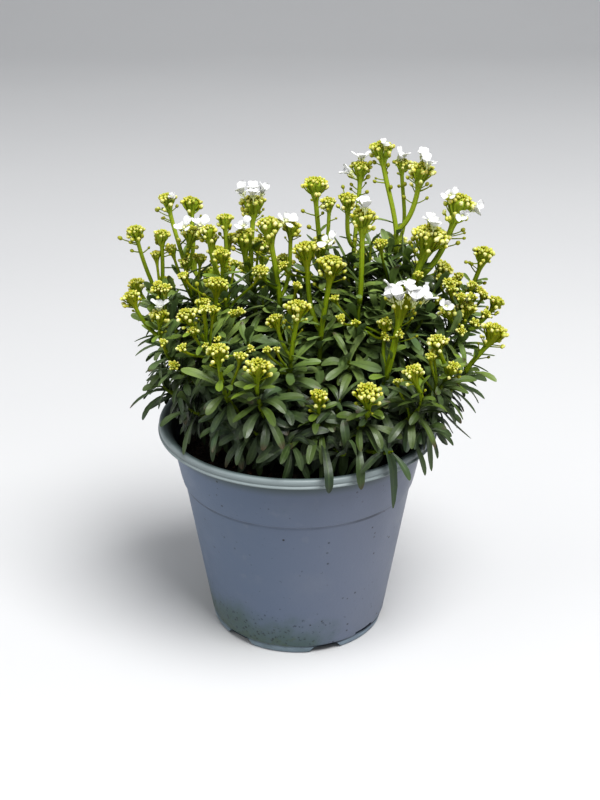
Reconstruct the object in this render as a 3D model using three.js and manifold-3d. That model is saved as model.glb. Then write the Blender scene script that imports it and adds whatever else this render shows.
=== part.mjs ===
// An evergreen candytuft in bud, in the thin plastic pot that it was grown in.
// Sizes are in millimetres, +Z is up and -Y is the side that the plant shows to the viewer.
// The origin is the centre of the pot's underside, on the flat pad that the pot stands on.
import * as THREE from "three";
import { mergeVertices } from "three/addons/utils/BufferGeometryUtils.js";
import Module from "manifold-3d";

const wasm = await Module();
wasm.setup();

// Pot
const POT_SIDES = 24;
const POT_HEIGHT = 104.2;
const RIM_RADIUS = 65;
const RIM_ROUND = 1.2;
const LIP_DROP = 4;
const LIP_THICKNESS = 1.3;
const LIP_TUCK = 0.6;
const LIP_BEAD = 0.8;
const LIP_BAND_INSET = 0.5;
const MOUTH_FLARE = 2.4;
const WALL = 1.3;
const WALL_TOP_RADIUS = 59.6;
const STEP_HEIGHT = 75.6;
const STEP_RADIUS = 54.8;
const STEP_DEPTH = 1;
const STEP_EASE = 0.4;
const FOOT_RADIUS = 41.8;
const FOOT_WIDTH = 3;
const FOOT_CHAMFER = 0.8;
const FLOOR = 1.4;
const PAD_RADIUS = 27;
const PAD_SLOPE = 3;
const DRAIN_RISE = 3.2;
const FEET = 6;
const FIRST_ARCH_BEARING = -72;
const ARCH_WIDTH = 14;
const ARCH_HEIGHT = 2.4;
const DRAIN_HOLE_RADIUS = 2.6;
const DRAIN_HOLE_SIDES = 6;
const DRAIN_RING_RADIUS = 34;
const SLIT_WIDTH = 12;
const SLIT_FLOOR = 3.4;
const SLIT_HEIGHT = 2;
const CUT_REACH = 6;
const OVERSHOOT = 1;

// Soil
const GAP = 0.3;
const SOIL_EDGE_HEIGHT = 92;
const SOIL_LIFT = 0.1;
const SOIL_MOUND = 3;
const SOIL_RINGS = [56, 44, 31, 16];
const LUMP_HEIGHT = 1.4;
const LUMPS_ACROSS = 0.29;
const LUMPS_ALONG = 0.34;
const LUMP_SKEW = 0.12;
const LUMP_START = 1.1;
const EDGE_CALM = 3;
const HOLE_DEPTH = 8;
const HOLE_CLEARANCE = 0.7;

// Leafy stems
const STEM_RADIUS = 1.6;
const STEM_SIDES = 4;
const STEM_STEPS = 3;
const ROOT_SHARE = 0.36;
const UPRIGHT_SHARE = 0.4;
const TIP_LEAN = 0.16;
const FORK = 0.3;
const SHOOT_LEAVES = { count: 8, lowest: 0.44 };
const TUFT_LEAVES = { count: 5, lowest: 0.5 };
const HIGHEST_LEAF = 0.96;
const GOLDEN_ANGLE = 137.5;
const LEAF_LENGTH = 20;
const LEAF_LENGTH_SPREAD = 6;
const LEAF_HALF_WIDTH = 2.1;
const LEAF_THICKNESS = 1.1;
const LEAF_BELLY = 0.64;
const LEAF_SINK = 0.7;
const LEAF_TIP_WIDTH = 0.5;
const LOW_LEAF_PITCH = 108;
const HIGH_LEAF_PITCH = 46;
const LEAF_CURL = 24;
const SAG = 1.1;
const SAG_FROM = 150;
const SAG_DEPTH = 45;
const LEAF_BALLS = 7;
const LEAF_BALLS_FROM = 0.24;
const BALL_MARGIN = 0.2;
const SOIL_ROOM = 0.5;
const RIM_ROOM = 1;
const HANG_PLACE = 0.8;
const HANG_OUT = 3.2;
const HANG_RISE = 5;
const SWINGS = [0, 16, -16, 32, -32, 48, -48];
const LIFTS = [0, 14, -14];
const SHORTER_LEAF = 0.8;
const TUFT_RADIUS = 1.1;
const TUFT_STEPS = 2;
const TUFT_SIDES = 3;
const TUFT_FORKS = [0.32, 0.4, 0.5];

// Flower sprays
const STALK_RADIUS = 0.9;
const STALK_RADIUS_PER_HEAD = 0.07;
const FIRST_BRANCH = 0.1;
const BRANCH_SPACING = 0.12;
const BRANCH_LEAN = 0.6;
const STALK_BEND = 0.35;
const LONG_STALK = 22;
const HEAD_SIDES_PER_SIZE = 1.4;
const FEWEST_HEAD_SIDES = 6;
const LARGE_HEAD = 7;
const LARGE_HEAD_RINGS = [[1, -0.1], [0.8, 0.35], [0.4, 0.66]];
const SMALL_HEAD_RINGS = [[1, 0], [0.6, 0.5]];
const HEAD_FOOT = 0.85;
const HEAD_TOP = 0.75;
const BUD_VALLEY = 0.7;

// White flowers
const LONG_PETAL = 6;
const SHORT_PETAL = 4;
const PETAL_SPREAD = 30;
const PETAL_CLEFT = 1.3;
const PETAL_THICKNESS = 0.8;
const FLOWER_RING = 4.8;
const FLOWER_TURN = 0.3;
const PETAL_ROOM = 1.3;

// Each stem forks into one or two leafy shoots. A shoot has its tip and the bud heads of the
// spray above it, as x, y, z and the head's radius. A head with "flowers" has that many open.
// A shoot with "hanging" has long leaves over the pot's rim, each given by its tip. The tufts
// are the tips of short leafy side shoots without flowers.
const STEMS = [
  {
    name: "front_mid",
    shoots: [
      {
        tip: [29, -53, 129],
        heads: [{ at: [28.5, -56, 141], size: 6.2 }],
        hanging: [[26.6, -64, 100], [41, -57, 87]],
      },
      {
        tip: [9, -45, 123],
        heads: [{ at: [8.5, -48, 136], size: 4.2 }],
        hanging: [[13, -68, 100.5]],
      },
    ],
    tufts: [[20, -58, 114], [40, -56, 114], [18, -38, 130]],
  },
  {
    name: "front_left_mid",
    shoots: [
      { tip: [-17, -50, 138], heads: [{ at: [-16.5, -52, 151], size: 5.4 }] },
      {
        tip: [-3, -30, 144],
        heads: [
          { at: [0, -28, 168], size: 5.5 },
          { at: [-9.5, -26, 162], size: 3.6 },
        ],
      },
    ],
    tufts: [[-19, -45, 118], [-3, -51, 115], [-14, -22, 138]],
  },
  {
    name: "front_left",
    shoots: [
      { tip: [-32, -44, 140], heads: [{ at: [-33.5, -44, 155], size: 4.6 }] },
      {
        tip: [-40, -24, 150],
        heads: [
          { at: [-48, -26, 164], size: 4.3 },
          { at: [-41, -20, 167], size: 3.9 },
        ],
      },
    ],
    tufts: [[-48, -30, 122], [-34, -40, 119]],
  },
  {
    name: "front_right",
    shoots: [
      { tip: [52, -46, 131], heads: [{ at: [48, -48, 147], size: 4.6 }] },
      {
        tip: [63, -34, 136],
        heads: [
          { at: [59, -36, 156], size: 4.4 },
          { at: [66, -39, 145], size: 3.5 },
        ],
        hanging: [[59, -38, 95], [66.5, -30, 104]],
      },
    ],
    tufts: [[56, -44, 118], [64, -28, 121], [46, -30, 128]],
  },
  {
    name: "mid_right",
    shoots: [
      {
        tip: [38, -30, 136],
        heads: [
          { at: [45, -22, 172], size: 9, flowers: 3 },
          { at: [37.5, -25, 160], size: 3.4 },
        ],
      },
      { tip: [27, -10, 163], heads: [{ at: [28, -2, 200], size: 6.4, flowers: 2 }] },
    ],
  },
  {
    name: "mid",
    shoots: [
      {
        tip: [10, -15, 148],
        heads: [
          { at: [14.5, -12, 182], size: 6.4 },
          { at: [3.5, -4, 186], size: 6 },
        ],
      },
    ],
  },
  {
    name: "left_mid",
    shoots: [
      { tip: [-36, -14, 152], heads: [{ at: [-35, -15, 174], size: 5 }] },
      {
        tip: [-33, -2, 166],
        heads: [
          { at: [-33, -5, 184], size: 4 },
          { at: [-32, 5, 197], size: 4 },
          { at: [-39.5, 1, 193], size: 4.4 },
        ],
      },
    ],
    tufts: [[-44, 2, 140]],
  },
  {
    name: "left",
    shoots: [
      {
        tip: [-60, -16, 148],
        heads: [
          { at: [-60, -18, 161], size: 4, flowers: 1 },
          { at: [-72.5, -14, 168], size: 4 },
        ],
      },
      {
        tip: [-61, 2, 158],
        heads: [
          { at: [-61.5, -5, 169], size: 3.7 },
          { at: [-71.5, 4, 192], size: 4.2 },
          { at: [-60, 4, 190], size: 4 },
        ],
      },
    ],
    tufts: [[-62, -2, 130], [-60, -20, 128], [-52, -18, 136]],
  },
  {
    name: "right_low",
    shoots: [
      {
        tip: [74, -19, 134],
        heads: [{ at: [86, -18, 153], size: 6 }],
        hanging: [[79.5, -12, 98]],
      },
    ],
    tufts: [[70, -8, 124]],
  },
  {
    name: "right",
    shoots: [
      {
        tip: [72, -6, 145],
        heads: [
          { at: [75, -6, 160], size: 4.4, flowers: 1 },
          { at: [88.5, -2, 161], size: 4 },
          { at: [65.5, -10, 160], size: 4 },
        ],
      },
      {
        tip: [76, 8, 157],
        heads: [
          { at: [83, 8, 180], size: 5.4 },
          { at: [69, 3, 168], size: 4 },
        ],
      },
    ],
    tufts: [[71, 14, 132]],
  },
  {
    name: "right_high",
    shoots: [
      {
        tip: [51, -1, 168],
        heads: [
          { at: [58, 2, 190], size: 8.6, flowers: 2 },
          { at: [71, 8, 203], size: 7.5 },
        ],
      },
    ],
  },
  {
    name: "mid_left",
    shoots: [
      {
        tip: [-8, -3, 159],
        heads: [
          { at: [-12.5, 2, 195], size: 6.4 },
          { at: [-3, 7, 193], size: 4.2 },
          { at: [-17, -6, 177], size: 3.8 },
        ],
      },
    ],
  },
  {
    name: "back_right",
    shoots: [
      {
        tip: [44, 15, 177],
        heads: [
          { at: [37, 22, 224], size: 5.8 },
          { at: [46, 20, 218], size: 3.8 },
          { at: [54.5, 15, 216], size: 6.2, flowers: 2 },
        ],
      },
    ],
  },
  {
    name: "back_mid",
    shoots: [
      {
        tip: [25, 17, 176],
        heads: [
          { at: [28, 24, 215], size: 5, flowers: 1 },
          { at: [22, 15, 203], size: 4.8 },
        ],
      },
      {
        tip: [10, 16, 172],
        heads: [
          { at: [7.5, 18, 209], size: 5.8 },
          { at: [14, 10, 203], size: 3.6 },
        ],
      },
    ],
    tufts: [[30, 28, 146]],
  },
  {
    name: "back_left_mid",
    shoots: [
      {
        tip: [-21, 10, 166],
        heads: [
          { at: [-20, 16, 201], size: 6, flowers: 2 },
          { at: [-24, 8, 188], size: 6 },
        ],
      },
    ],
  },
  {
    name: "back_left",
    shoots: [
      {
        tip: [-50, 11, 168],
        heads: [
          { at: [-58, 16, 203], size: 4.5 },
          { at: [-48, 20, 200], size: 4.9 },
          { at: [-47.5, 8, 190], size: 5 },
        ],
      },
    ],
    tufts: [[-30, 26, 146]],
  },
  {
    name: "rear_left",
    shoots: [
      {
        tip: [-66, 20, 144],
        heads: [
          { at: [-75, 22, 161], size: 4 },
          { at: [-62, 28, 160], size: 4.2 },
        ],
      },
      {
        tip: [-44, 37, 148],
        heads: [
          { at: [-51, 42, 166], size: 5 },
          { at: [-38, 36, 172], size: 4.6 },
          { at: [-43, 51, 157], size: 4 },
        ],
      },
    ],
    tufts: [[-47, 42, 127], [-60, 22, 130]],
  },
  {
    name: "rear_left_mid",
    shoots: [
      {
        tip: [-16, 42, 150],
        heads: [
          { at: [-18, 40, 174], size: 6 },
          { at: [-7, 51, 162], size: 5 },
          { at: [-26, 54, 158], size: 4.2 },
        ],
      },
    ],
    tufts: [[-4, 54, 124], [-28, 51, 124]],
  },
  {
    name: "rear_right_mid",
    shoots: [
      {
        tip: [17, 43, 148],
        heads: [
          { at: [12, 38, 176], size: 5.6 },
          { at: [20, 55, 158], size: 5 },
          { at: [31, 47, 166], size: 4.6 },
        ],
      },
    ],
    tufts: [[22, 54, 124]],
  },
  {
    name: "rear_right",
    shoots: [
      {
        tip: [50, 36, 150],
        heads: [
          { at: [45, 34, 177], size: 5.6 },
          { at: [57, 45, 161], size: 5 },
          { at: [68, 30, 166], size: 4.8 },
        ],
      },
    ],
    tufts: [[60, 32, 128], [44, 46, 126]],
  },
];

const UP = new THREE.Vector3(0, 0, 1);

// A seeded stream of numbers from 0 to 1, so that the plant grows alike each time.
function randomStream(seed) {
  let state = seed;
  return () => {
    state = (state * 1664525 + 1013904223) % 4294967296;
    return state / 4294967296;
  };
}

// Turns a closed geometry into a solid that can be joined and cut.
function solid(geometry) {
  const bare = geometry.clone();
  bare.deleteAttribute("normal");
  bare.deleteAttribute("uv");
  const merged = mergeVertices(bare, 1e-4);
  return new wasm.Manifold(
    new wasm.Mesh({
      numProp: 3,
      vertProperties: merged.attributes.position.array,
      triVerts: new Uint32Array(merged.index.array),
    }),
  );
}

// Joins closed geometries into one body. A loose scrap is dropped and a sealed hollow is filled.
function fused(geometries) {
  const whole = geometries.map(solid).reduce((sum, piece) => sum.add(piece));
  const bodies = whole.decompose();
  return bodies.reduce((most, body) => (body.volume() > most.volume() ? body : most));
}

function geometryOf(body) {
  const mesh = body.getMesh();
  const geometry = new THREE.BufferGeometry();
  geometry.setAttribute("position", new THREE.BufferAttribute(mesh.vertProperties, 3));
  geometry.setIndex(new THREE.BufferAttribute(mesh.triVerts, 1));
  return geometry;
}

function namedMesh(name, geometry, finish) {
  const mesh = new THREE.Mesh(geometry, new THREE.MeshStandardMaterial(finish));
  mesh.geometry.computeVertexNormals();
  mesh.name = name;
  return mesh;
}

// Turns a profile of [radius, height] pairs round the Z axis.
function turned(profile) {
  const points = profile.map(([radius, height]) => new THREE.Vector2(radius, height));
  return new THREE.LatheGeometry(points, POT_SIDES).rotateX(Math.PI / 2);
}

// The outer radius of the pot's wall above and below its step.
function wallRadius(height) {
  if (height > STEP_HEIGHT) {
    const share = (height - STEP_HEIGHT) / (POT_HEIGHT - LIP_DROP - STEP_HEIGHT);
    return STEP_RADIUS + share * (WALL_TOP_RADIUS - STEP_RADIUS);
  }
  const share = height / STEP_HEIGHT;
  return FOOT_RADIUS + share * (STEP_RADIUS - STEP_DEPTH - FOOT_RADIUS);
}

// The pot in section: the underside from its middle out, up the outside, over the lip, and
// down the inside.
function potProfile() {
  const lipFoot = POT_HEIGHT - LIP_DROP;
  const lipInside = RIM_RADIUS - LIP_THICKNESS;
  const flange = POT_HEIGHT - LIP_THICKNESS;
  const drainTop = DRAIN_RISE + FLOOR;
  const footInside = FOOT_RADIUS - FOOT_WIDTH;
  const overStep = STEP_HEIGHT + STEP_EASE;
  const underStep = STEP_HEIGHT - STEP_EASE;
  return [
    [0, 0],
    [PAD_RADIUS, 0],
    [PAD_RADIUS + PAD_SLOPE, DRAIN_RISE],
    [footInside - STEP_EASE, DRAIN_RISE],
    [footInside, 0],
    [FOOT_RADIUS - FOOT_CHAMFER, 0],
    [wallRadius(FOOT_CHAMFER), FOOT_CHAMFER],
    [wallRadius(STEP_HEIGHT), underStep],
    [STEP_RADIUS, overStep],
    [WALL_TOP_RADIUS, lipFoot - LIP_TUCK],
    [WALL_TOP_RADIUS + LIP_TUCK, flange],
    [lipInside, flange],
    [lipInside, lipFoot],
    [RIM_RADIUS, lipFoot],
    [RIM_RADIUS, lipFoot + LIP_BEAD],
    [RIM_RADIUS - LIP_BAND_INSET, lipFoot + LIP_BEAD + LIP_BAND_INSET],
    [RIM_RADIUS - LIP_BAND_INSET, POT_HEIGHT - LIP_TUCK],
    [RIM_RADIUS - RIM_ROUND, POT_HEIGHT],
    [WALL_TOP_RADIUS + MOUTH_FLARE, POT_HEIGHT],
    [WALL_TOP_RADIUS - WALL, lipFoot - LIP_TUCK],
    [STEP_RADIUS - WALL, overStep],
    [wallRadius(STEP_HEIGHT) - WALL, underStep],
    [wallRadius(drainTop) - WALL, drainTop],
    [PAD_RADIUS + PAD_SLOPE, drainTop],
    [PAD_RADIUS, FLOOR],
    [0, FLOOR],
  ];
}

// A box cut outwards through the pot's wall at a bearing, as wide and high as given.
function wallCut(bearing, width, from, height) {
  const box = new THREE.BoxGeometry(CUT_REACH, width, height);
  box.translate(FOOT_RADIUS + OVERSHOOT - CUT_REACH / 2, 0, from + height / 2);
  return box.rotateZ(THREE.MathUtils.degToRad(bearing));
}

// A round hole down through the raised ring of the pot's floor, at a bearing.
function drainHole(bearing) {
  const depth = DRAIN_RISE + FLOOR + OVERSHOOT;
  const sides = DRAIN_HOLE_SIDES;
  const pin = new THREE.CylinderGeometry(DRAIN_HOLE_RADIUS, DRAIN_HOLE_RADIUS, depth, sides);
  pin.rotateX(Math.PI / 2).translate(DRAIN_RING_RADIUS, 0, depth / 2);
  return pin.rotateZ(THREE.MathUtils.degToRad(bearing));
}

// The pot with an arch and a drain hole between every two feet, and a slit over every other foot.
function potGeometry() {
  const cuts = [];
  for (let i = 0; i < FEET; i += 1) {
    const bearing = FIRST_ARCH_BEARING + (i * 360) / FEET;
    cuts.push(wallCut(bearing, ARCH_WIDTH, -OVERSHOOT, ARCH_HEIGHT + OVERSHOOT));
    cuts.push(drainHole(bearing));
    if (i % 2 === 0) {
      cuts.push(wallCut(bearing + 180 / FEET, SLIT_WIDTH, SLIT_FLOOR, SLIT_HEIGHT));
    }
  }
  const whole = solid(turned(potProfile()));
  return geometryOf(cuts.reduce((pot, cut) => pot.subtract(solid(cut)), whole));
}

// The height of the soil's crumbly top, which mounds a little round the plant.
function soilHeight(x, y) {
  const inward = 1 - Math.min(1, Math.hypot(x, y) / SOIL_RINGS[0]);
  const across = Math.sin(LUMPS_ACROSS * x + LUMP_START);
  const along = Math.cos(LUMPS_ALONG * y - LUMP_SKEW * x);
  const lumps = LUMP_HEIGHT * (across + along) * Math.min(1, EDGE_CALM * inward);
  return SOIL_EDGE_HEIGHT + SOIL_MOUND * inward + lumps;
}

// The soil fills the pot to a little under its rim, with a hole along the foot of each stem.
function soilGeometry(shoots) {
  const inside = (height) => wallRadius(height) - WALL - 2 * GAP;
  const drainTop = DRAIN_RISE + FLOOR + GAP;
  const profile = [
    [0, FLOOR + GAP],
    [PAD_RADIUS - GAP, FLOOR + GAP],
    [PAD_RADIUS + PAD_SLOPE - GAP, drainTop],
    [inside(drainTop), drainTop],
    [inside(STEP_HEIGHT), STEP_HEIGHT - STEP_EASE],
    [STEP_RADIUS - WALL - GAP, STEP_HEIGHT + STEP_EASE + 2 * GAP],
    [inside(SOIL_EDGE_HEIGHT), SOIL_EDGE_HEIGHT],
    ...SOIL_RINGS.slice(1).map((radius) => [radius, SOIL_EDGE_HEIGHT + SOIL_LIFT]),
    [0, SOIL_EDGE_HEIGHT + SOIL_LIFT],
  ];
  const block = turned(profile);
  const places = block.attributes.position;
  for (let i = 0; i < places.count; i += 1) {
    if (places.getZ(i) > SOIL_EDGE_HEIGHT + SOIL_LIFT / 2) {
      places.setZ(i, soilHeight(places.getX(i), places.getY(i)));
    }
  }
  const holes = shoots.map(({ curve }) =>
    solid(rod(curve, STEM_RADIUS + HOLE_CLEARANCE, STEM_STEPS).translate(0, 0, -GAP)),
  );
  return geometryOf(holes.reduce((soil, hole) => soil.subtract(hole), solid(block)));
}

// A stem or stalk: an even many-sided rod along a curve.
function rod(curve, radius, steps, sides = STEM_SIDES) {
  const outline = new THREE.Shape();
  for (let i = 0; i < sides; i += 1) {
    const angle = (i * 2 * Math.PI) / sides;
    const [x, y] = [radius * Math.cos(angle), radius * Math.sin(angle)];
    if (i === 0) outline.moveTo(x, y);
    else outline.lineTo(x, y);
  }
  return new THREE.ExtrudeGeometry(outline, { steps, bevelEnabled: false, extrudePath: curve });
}

// A leaf blade from a pointed root, with a flat face and a keel under it that runs out before
// the blunt tip. Its belly and tip are stations of { centre, side, keel, halfWidth }.
function blade([root, belly, tip]) {
  const edges = ({ centre, side, halfWidth }) => [
    centre.clone().addScaledVector(side, halfWidth),
    centre.clone().addScaledVector(side, -halfWidth),
  ];
  const under = belly.centre.clone().addScaledVector(belly.keel, LEAF_THICKNESS);
  const points = [root.centre, ...edges(belly), under, ...edges(tip)];
  const geometry = new THREE.BufferGeometry().setFromPoints(points);
  const inner = [0, 2, 1, 0, 3, 2, 0, 1, 3];
  const outer = [1, 2, 4, 2, 5, 4, 2, 3, 5, 3, 1, 4, 3, 4, 5];
  geometry.setIndex([...inner, ...outer]);
  return geometry;
}

// The direction square to an axis at a bearing round it.
function outwardFrom(axis, bearing) {
  const across = new THREE.Vector3(1, 0, 0).addScaledVector(axis, -axis.x).normalize();
  const along = axis.clone().cross(across);
  const turn = THREE.MathUtils.degToRad(bearing);
  return across.multiplyScalar(Math.cos(turn)).addScaledVector(along, Math.sin(turn));
}

// A leaf that leaves an axis at a root point. Pitch is its angle from the axis, swing its
// bearing round it, and curl what the pitch gains by the leaf's tip. The lower a leaf grows,
// the more it sags.
function leafStations({ root, axis, swing, pitch, curl, length }) {
  const outward = outwardFrom(axis, swing);
  const sag = SAG * THREE.MathUtils.clamp((SAG_FROM - root.z) / SAG_DEPTH, 0, 1);
  const heading = (share) => {
    const angle = THREE.MathUtils.degToRad(pitch + curl * share);
    const straight = axis.clone().multiplyScalar(Math.cos(angle));
    straight.addScaledVector(outward, Math.sin(angle));
    return straight.addScaledVector(UP, -sag * share).normalize();
  };
  const belly = root.clone().addScaledVector(heading(LEAF_BELLY / 2), LEAF_BELLY * length);
  const tip = belly.clone();
  tip.addScaledVector(heading((1 + LEAF_BELLY) / 2), (1 - LEAF_BELLY) * length);
  return shapedLeaf(axis.clone().cross(outward), [root, belly, tip]);
}

// The stations of a leaf through its root, its widest place and its tip.
function shapedLeaf(across, [root, belly, tip]) {
  const inner = belly.clone().sub(root).normalize();
  const side = across.clone().projectOnPlane(tip.clone().sub(root).normalize()).normalize();
  const station = (centre, width) => ({
    centre,
    side,
    keel: side.clone().cross(inner).normalize(),
    halfWidth: width * LEAF_HALF_WIDTH,
  });
  const sunk = root.clone().addScaledVector(inner, -LEAF_SINK);
  return [station(sunk, 0), station(belly, 1), station(tip, LEAF_TIP_WIDTH)];
}

// A leaf from high on a shoot, out over the pot's rim and down to its tip.
function hangingStations(curve, tip) {
  const outward = new THREE.Vector3(tip.x, tip.y, 0).normalize();
  const belly = outward.clone().multiplyScalar(RIM_RADIUS + HANG_OUT);
  belly.setZ(POT_HEIGHT + HANG_RISE);
  return shapedLeaf(UP.clone().cross(outward), [curve.getPoint(HANG_PLACE), belly, tip]);
}

// The balls that a leaf fills, from a little way off its root to its tip.
function leafBalls(stations) {
  const balls = [];
  for (let i = 0; i < LEAF_BALLS; i += 1) {
    const share = LEAF_BALLS_FROM + ((1 - LEAF_BALLS_FROM) * i) / (LEAF_BALLS - 1);
    const outer = share > LEAF_BELLY;
    const [from, to] = outer ? [stations[1], stations[2]] : [stations[0], stations[1]];
    const part = outer ? (share - LEAF_BELLY) / (1 - LEAF_BELLY) : share / LEAF_BELLY;
    balls.push({
      centre: from.centre.clone().lerp(to.centre, part),
      radius: from.halfWidth + (to.halfWidth - from.halfWidth) * part,
    });
  }
  return balls;
}

// The balls that a rod fills, from one end to the other.
function rodBalls(curve, radius) {
  const count = Math.ceil(curve.getLength() / (2 * radius));
  return curve.getPoints(count).map((centre) => ({ centre, radius: radius + BALL_MARGIN }));
}

// What is already taken, as balls that each have an owner.
const taken = [];

function take(owner, balls) {
  balls.forEach((ball) => taken.push({ owner, ...ball }));
}

// True where a ball stays off the pot's rim and wall and off the soil.
function clearsPot({ centre, radius }) {
  const reach = Math.hypot(centre.x, centre.y);
  const rimCentre = (WALL_TOP_RADIUS + RIM_RADIUS) / 2;
  const fromRim = Math.hypot(reach - rimCentre, centre.z - (POT_HEIGHT - LIP_DROP / 2));
  const rimReach = (RIM_RADIUS - WALL_TOP_RADIUS) / 2 + RIM_ROOM;
  if (fromRim < radius + rimReach) return false;
  if (centre.z > POT_HEIGHT + radius) return true;
  if (reach > rimCentre) return reach > WALL_TOP_RADIUS + radius + RIM_ROOM;
  const overSoil = centre.z - soilHeight(centre.x, centre.y) - radius;
  return overSoil > SOIL_ROOM && reach < wallRadius(centre.z) - WALL - radius - GAP;
}

// True where all the balls are free. What grows may touch only the shoots that bear it.
function isClear(bearers, balls) {
  const apart = (a, b) => a.centre.distanceTo(b.centre) > a.radius + b.radius + GAP;
  const others = taken.filter(({ owner }) => !bearers.includes(owner));
  return balls.every((ball) => clearsPot(ball) && others.every((other) => apart(ball, other)));
}

// The curve of a shoot: upright out of the soil, outwards, then up again to its tip.
function shootCurve(root, tip) {
  const rise = tip.z - root.z;
  const early = root.clone().addScaledVector(UP, UPRIGHT_SHARE * rise);
  const late = tip.clone().lerp(root, TIP_LEAN).setZ(tip.z - UPRIGHT_SHARE * rise);
  return new THREE.CubicBezierCurve3(root, early, late, tip);
}

// The curve of a flower stalk, from its foot and first heading up to a bud head.
function stalkCurve(foot, heading, head) {
  const reach = foot.distanceTo(head);
  const lean = head.clone().sub(foot).normalize().add(UP).normalize();
  return new THREE.CubicBezierCurve3(
    foot,
    foot.clone().addScaledVector(heading, STALK_BEND * reach),
    head.clone().addScaledVector(lean, -STALK_BEND * reach),
    head,
  );
}

// The stalks of a spray: one stands on the shoot's tip and the others branch off it.
function stalkCurves(shoot, heads) {
  const axis = shoot.getTangent(1);
  const main = stalkCurve(shoot.getPoint(1).addScaledVector(axis, GAP), axis, heads[0]);
  const branches = heads.slice(1).map((head, i) => {
    const place = FIRST_BRANCH + i * BRANCH_SPACING;
    const foot = main.getPoint(place);
    const along = main.getTangent(place);
    const away = head.clone().sub(foot).projectOnPlane(along).normalize();
    return stalkCurve(foot, away.addScaledVector(along, BRANCH_LEAN).normalize(), head);
  });
  return [main, ...branches];
}

// A stalk with its knobbly head of buds, turned as one and then bent along the stalk's curve.
// Every second corner of a head's ring is a bud, half a step on from the ring below, and the
// corners between them sink inwards.
function budStalk({ path, size, radius }, spin) {
  const rings = size > LARGE_HEAD ? LARGE_HEAD_RINGS : SMALL_HEAD_RINGS;
  const reach = path.getLength() / size;
  const bends = reach * size > LONG_STALK ? [-reach, -(reach + HEAD_FOOT) / 2] : [-reach];
  const foot = [[0, -reach], ...[...bends, -HEAD_FOOT].map((height) => [radius / size, height])];
  const profile = [...foot, ...rings, [0, HEAD_TOP]];
  const sides = 2 * Math.max(FEWEST_HEAD_SIDES / 2, Math.floor((HEAD_SIDES_PER_SIZE * size) / 2));
  const points = profile.map(([out, height]) => new THREE.Vector2(size * out, size * height));
  const stalk = new THREE.LatheGeometry(points, sides).rotateX(Math.PI / 2);
  const places = stalk.attributes.position;
  const point = new THREE.Vector3();
  for (let i = 0; i < places.count; i += 1) {
    const ring = (i % points.length) - foot.length;
    const corner = Math.floor(i / points.length);
    point.fromBufferAttribute(places, i);
    const isValley = ring >= 0 && ring < rings.length && (ring + corner) % 2 === 1;
    point.multiplyScalar(isValley ? BUD_VALLEY : 1).applyAxisAngle(UP, spin);
    places.setXYZ(i, ...bentPoint(point, path).toArray());
  }
  return stalk;
}

// Moves a point from round the Z axis to round a curve that ends at height zero.
function bentPoint(point, path) {
  const length = path.getLength();
  const share = THREE.MathUtils.clamp(1 + point.z / length, 0, 1);
  const axis = path.getTangentAt(share);
  const onPath = path.getPointAt(share).addScaledVector(axis, Math.max(point.z, 0));
  const turn = new THREE.Quaternion().setFromUnitVectors(UP, axis);
  return onPath.add(new THREE.Vector3(point.x, point.y, 0).applyQuaternion(turn));
}

// One open flower, flat in its own frame: two long petals and two short ones round a middle.
function openFlower() {
  const outline = new THREE.Shape();
  for (let k = 0; k < 4; k += 1) {
    const length = k % 2 === 0 ? LONG_PETAL : SHORT_PETAL;
    const corners = [
      [-45, PETAL_CLEFT],
      [-PETAL_SPREAD, length],
      [PETAL_SPREAD, length],
    ];
    corners.forEach(([offset, radius], j) => {
      const angle = THREE.MathUtils.degToRad(90 * k + offset);
      const [x, y] = [radius * Math.cos(angle), radius * Math.sin(angle)];
      if (k + j === 0) outline.moveTo(x, y);
      else outline.lineTo(x, y);
    });
  }
  return new THREE.ExtrudeGeometry(outline, { depth: PETAL_THICKNESS, bevelEnabled: false });
}

// The open flowers over a head, side by side, so that their petals meet.
function flowersOver({ path, size, flowers }, random) {
  const ring = flowers > 1 ? FLOWER_RING : 0;
  const shapes = Array.from({ length: flowers }, (unused, i) => {
    const bearing = ((i + 0.5) / flowers) * 2 * Math.PI + FLOWER_TURN * random();
    const flower = openFlower().rotateZ(bearing);
    return flower.translate(ring * Math.cos(bearing), ring * Math.sin(bearing), 0);
  });
  const axis = path.getTangent(1);
  const seat = path.getPoint(1).addScaledVector(axis, size * HEAD_TOP + GAP);
  const petals = geometryOf(fused(shapes));
  petals.applyQuaternion(new THREE.Quaternion().setFromUnitVectors(UP, axis));
  return petals.translate(seat.x, seat.y, seat.z);
}

// The balls that flowers fill: one round each corner of their petals.
function cornerBalls(geometry) {
  const places = geometry.attributes.position;
  return Array.from({ length: places.count }, (unused, i) => ({
    centre: new THREE.Vector3().fromBufferAttribute(places, i),
    radius: PETAL_ROOM,
  }));
}

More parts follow.
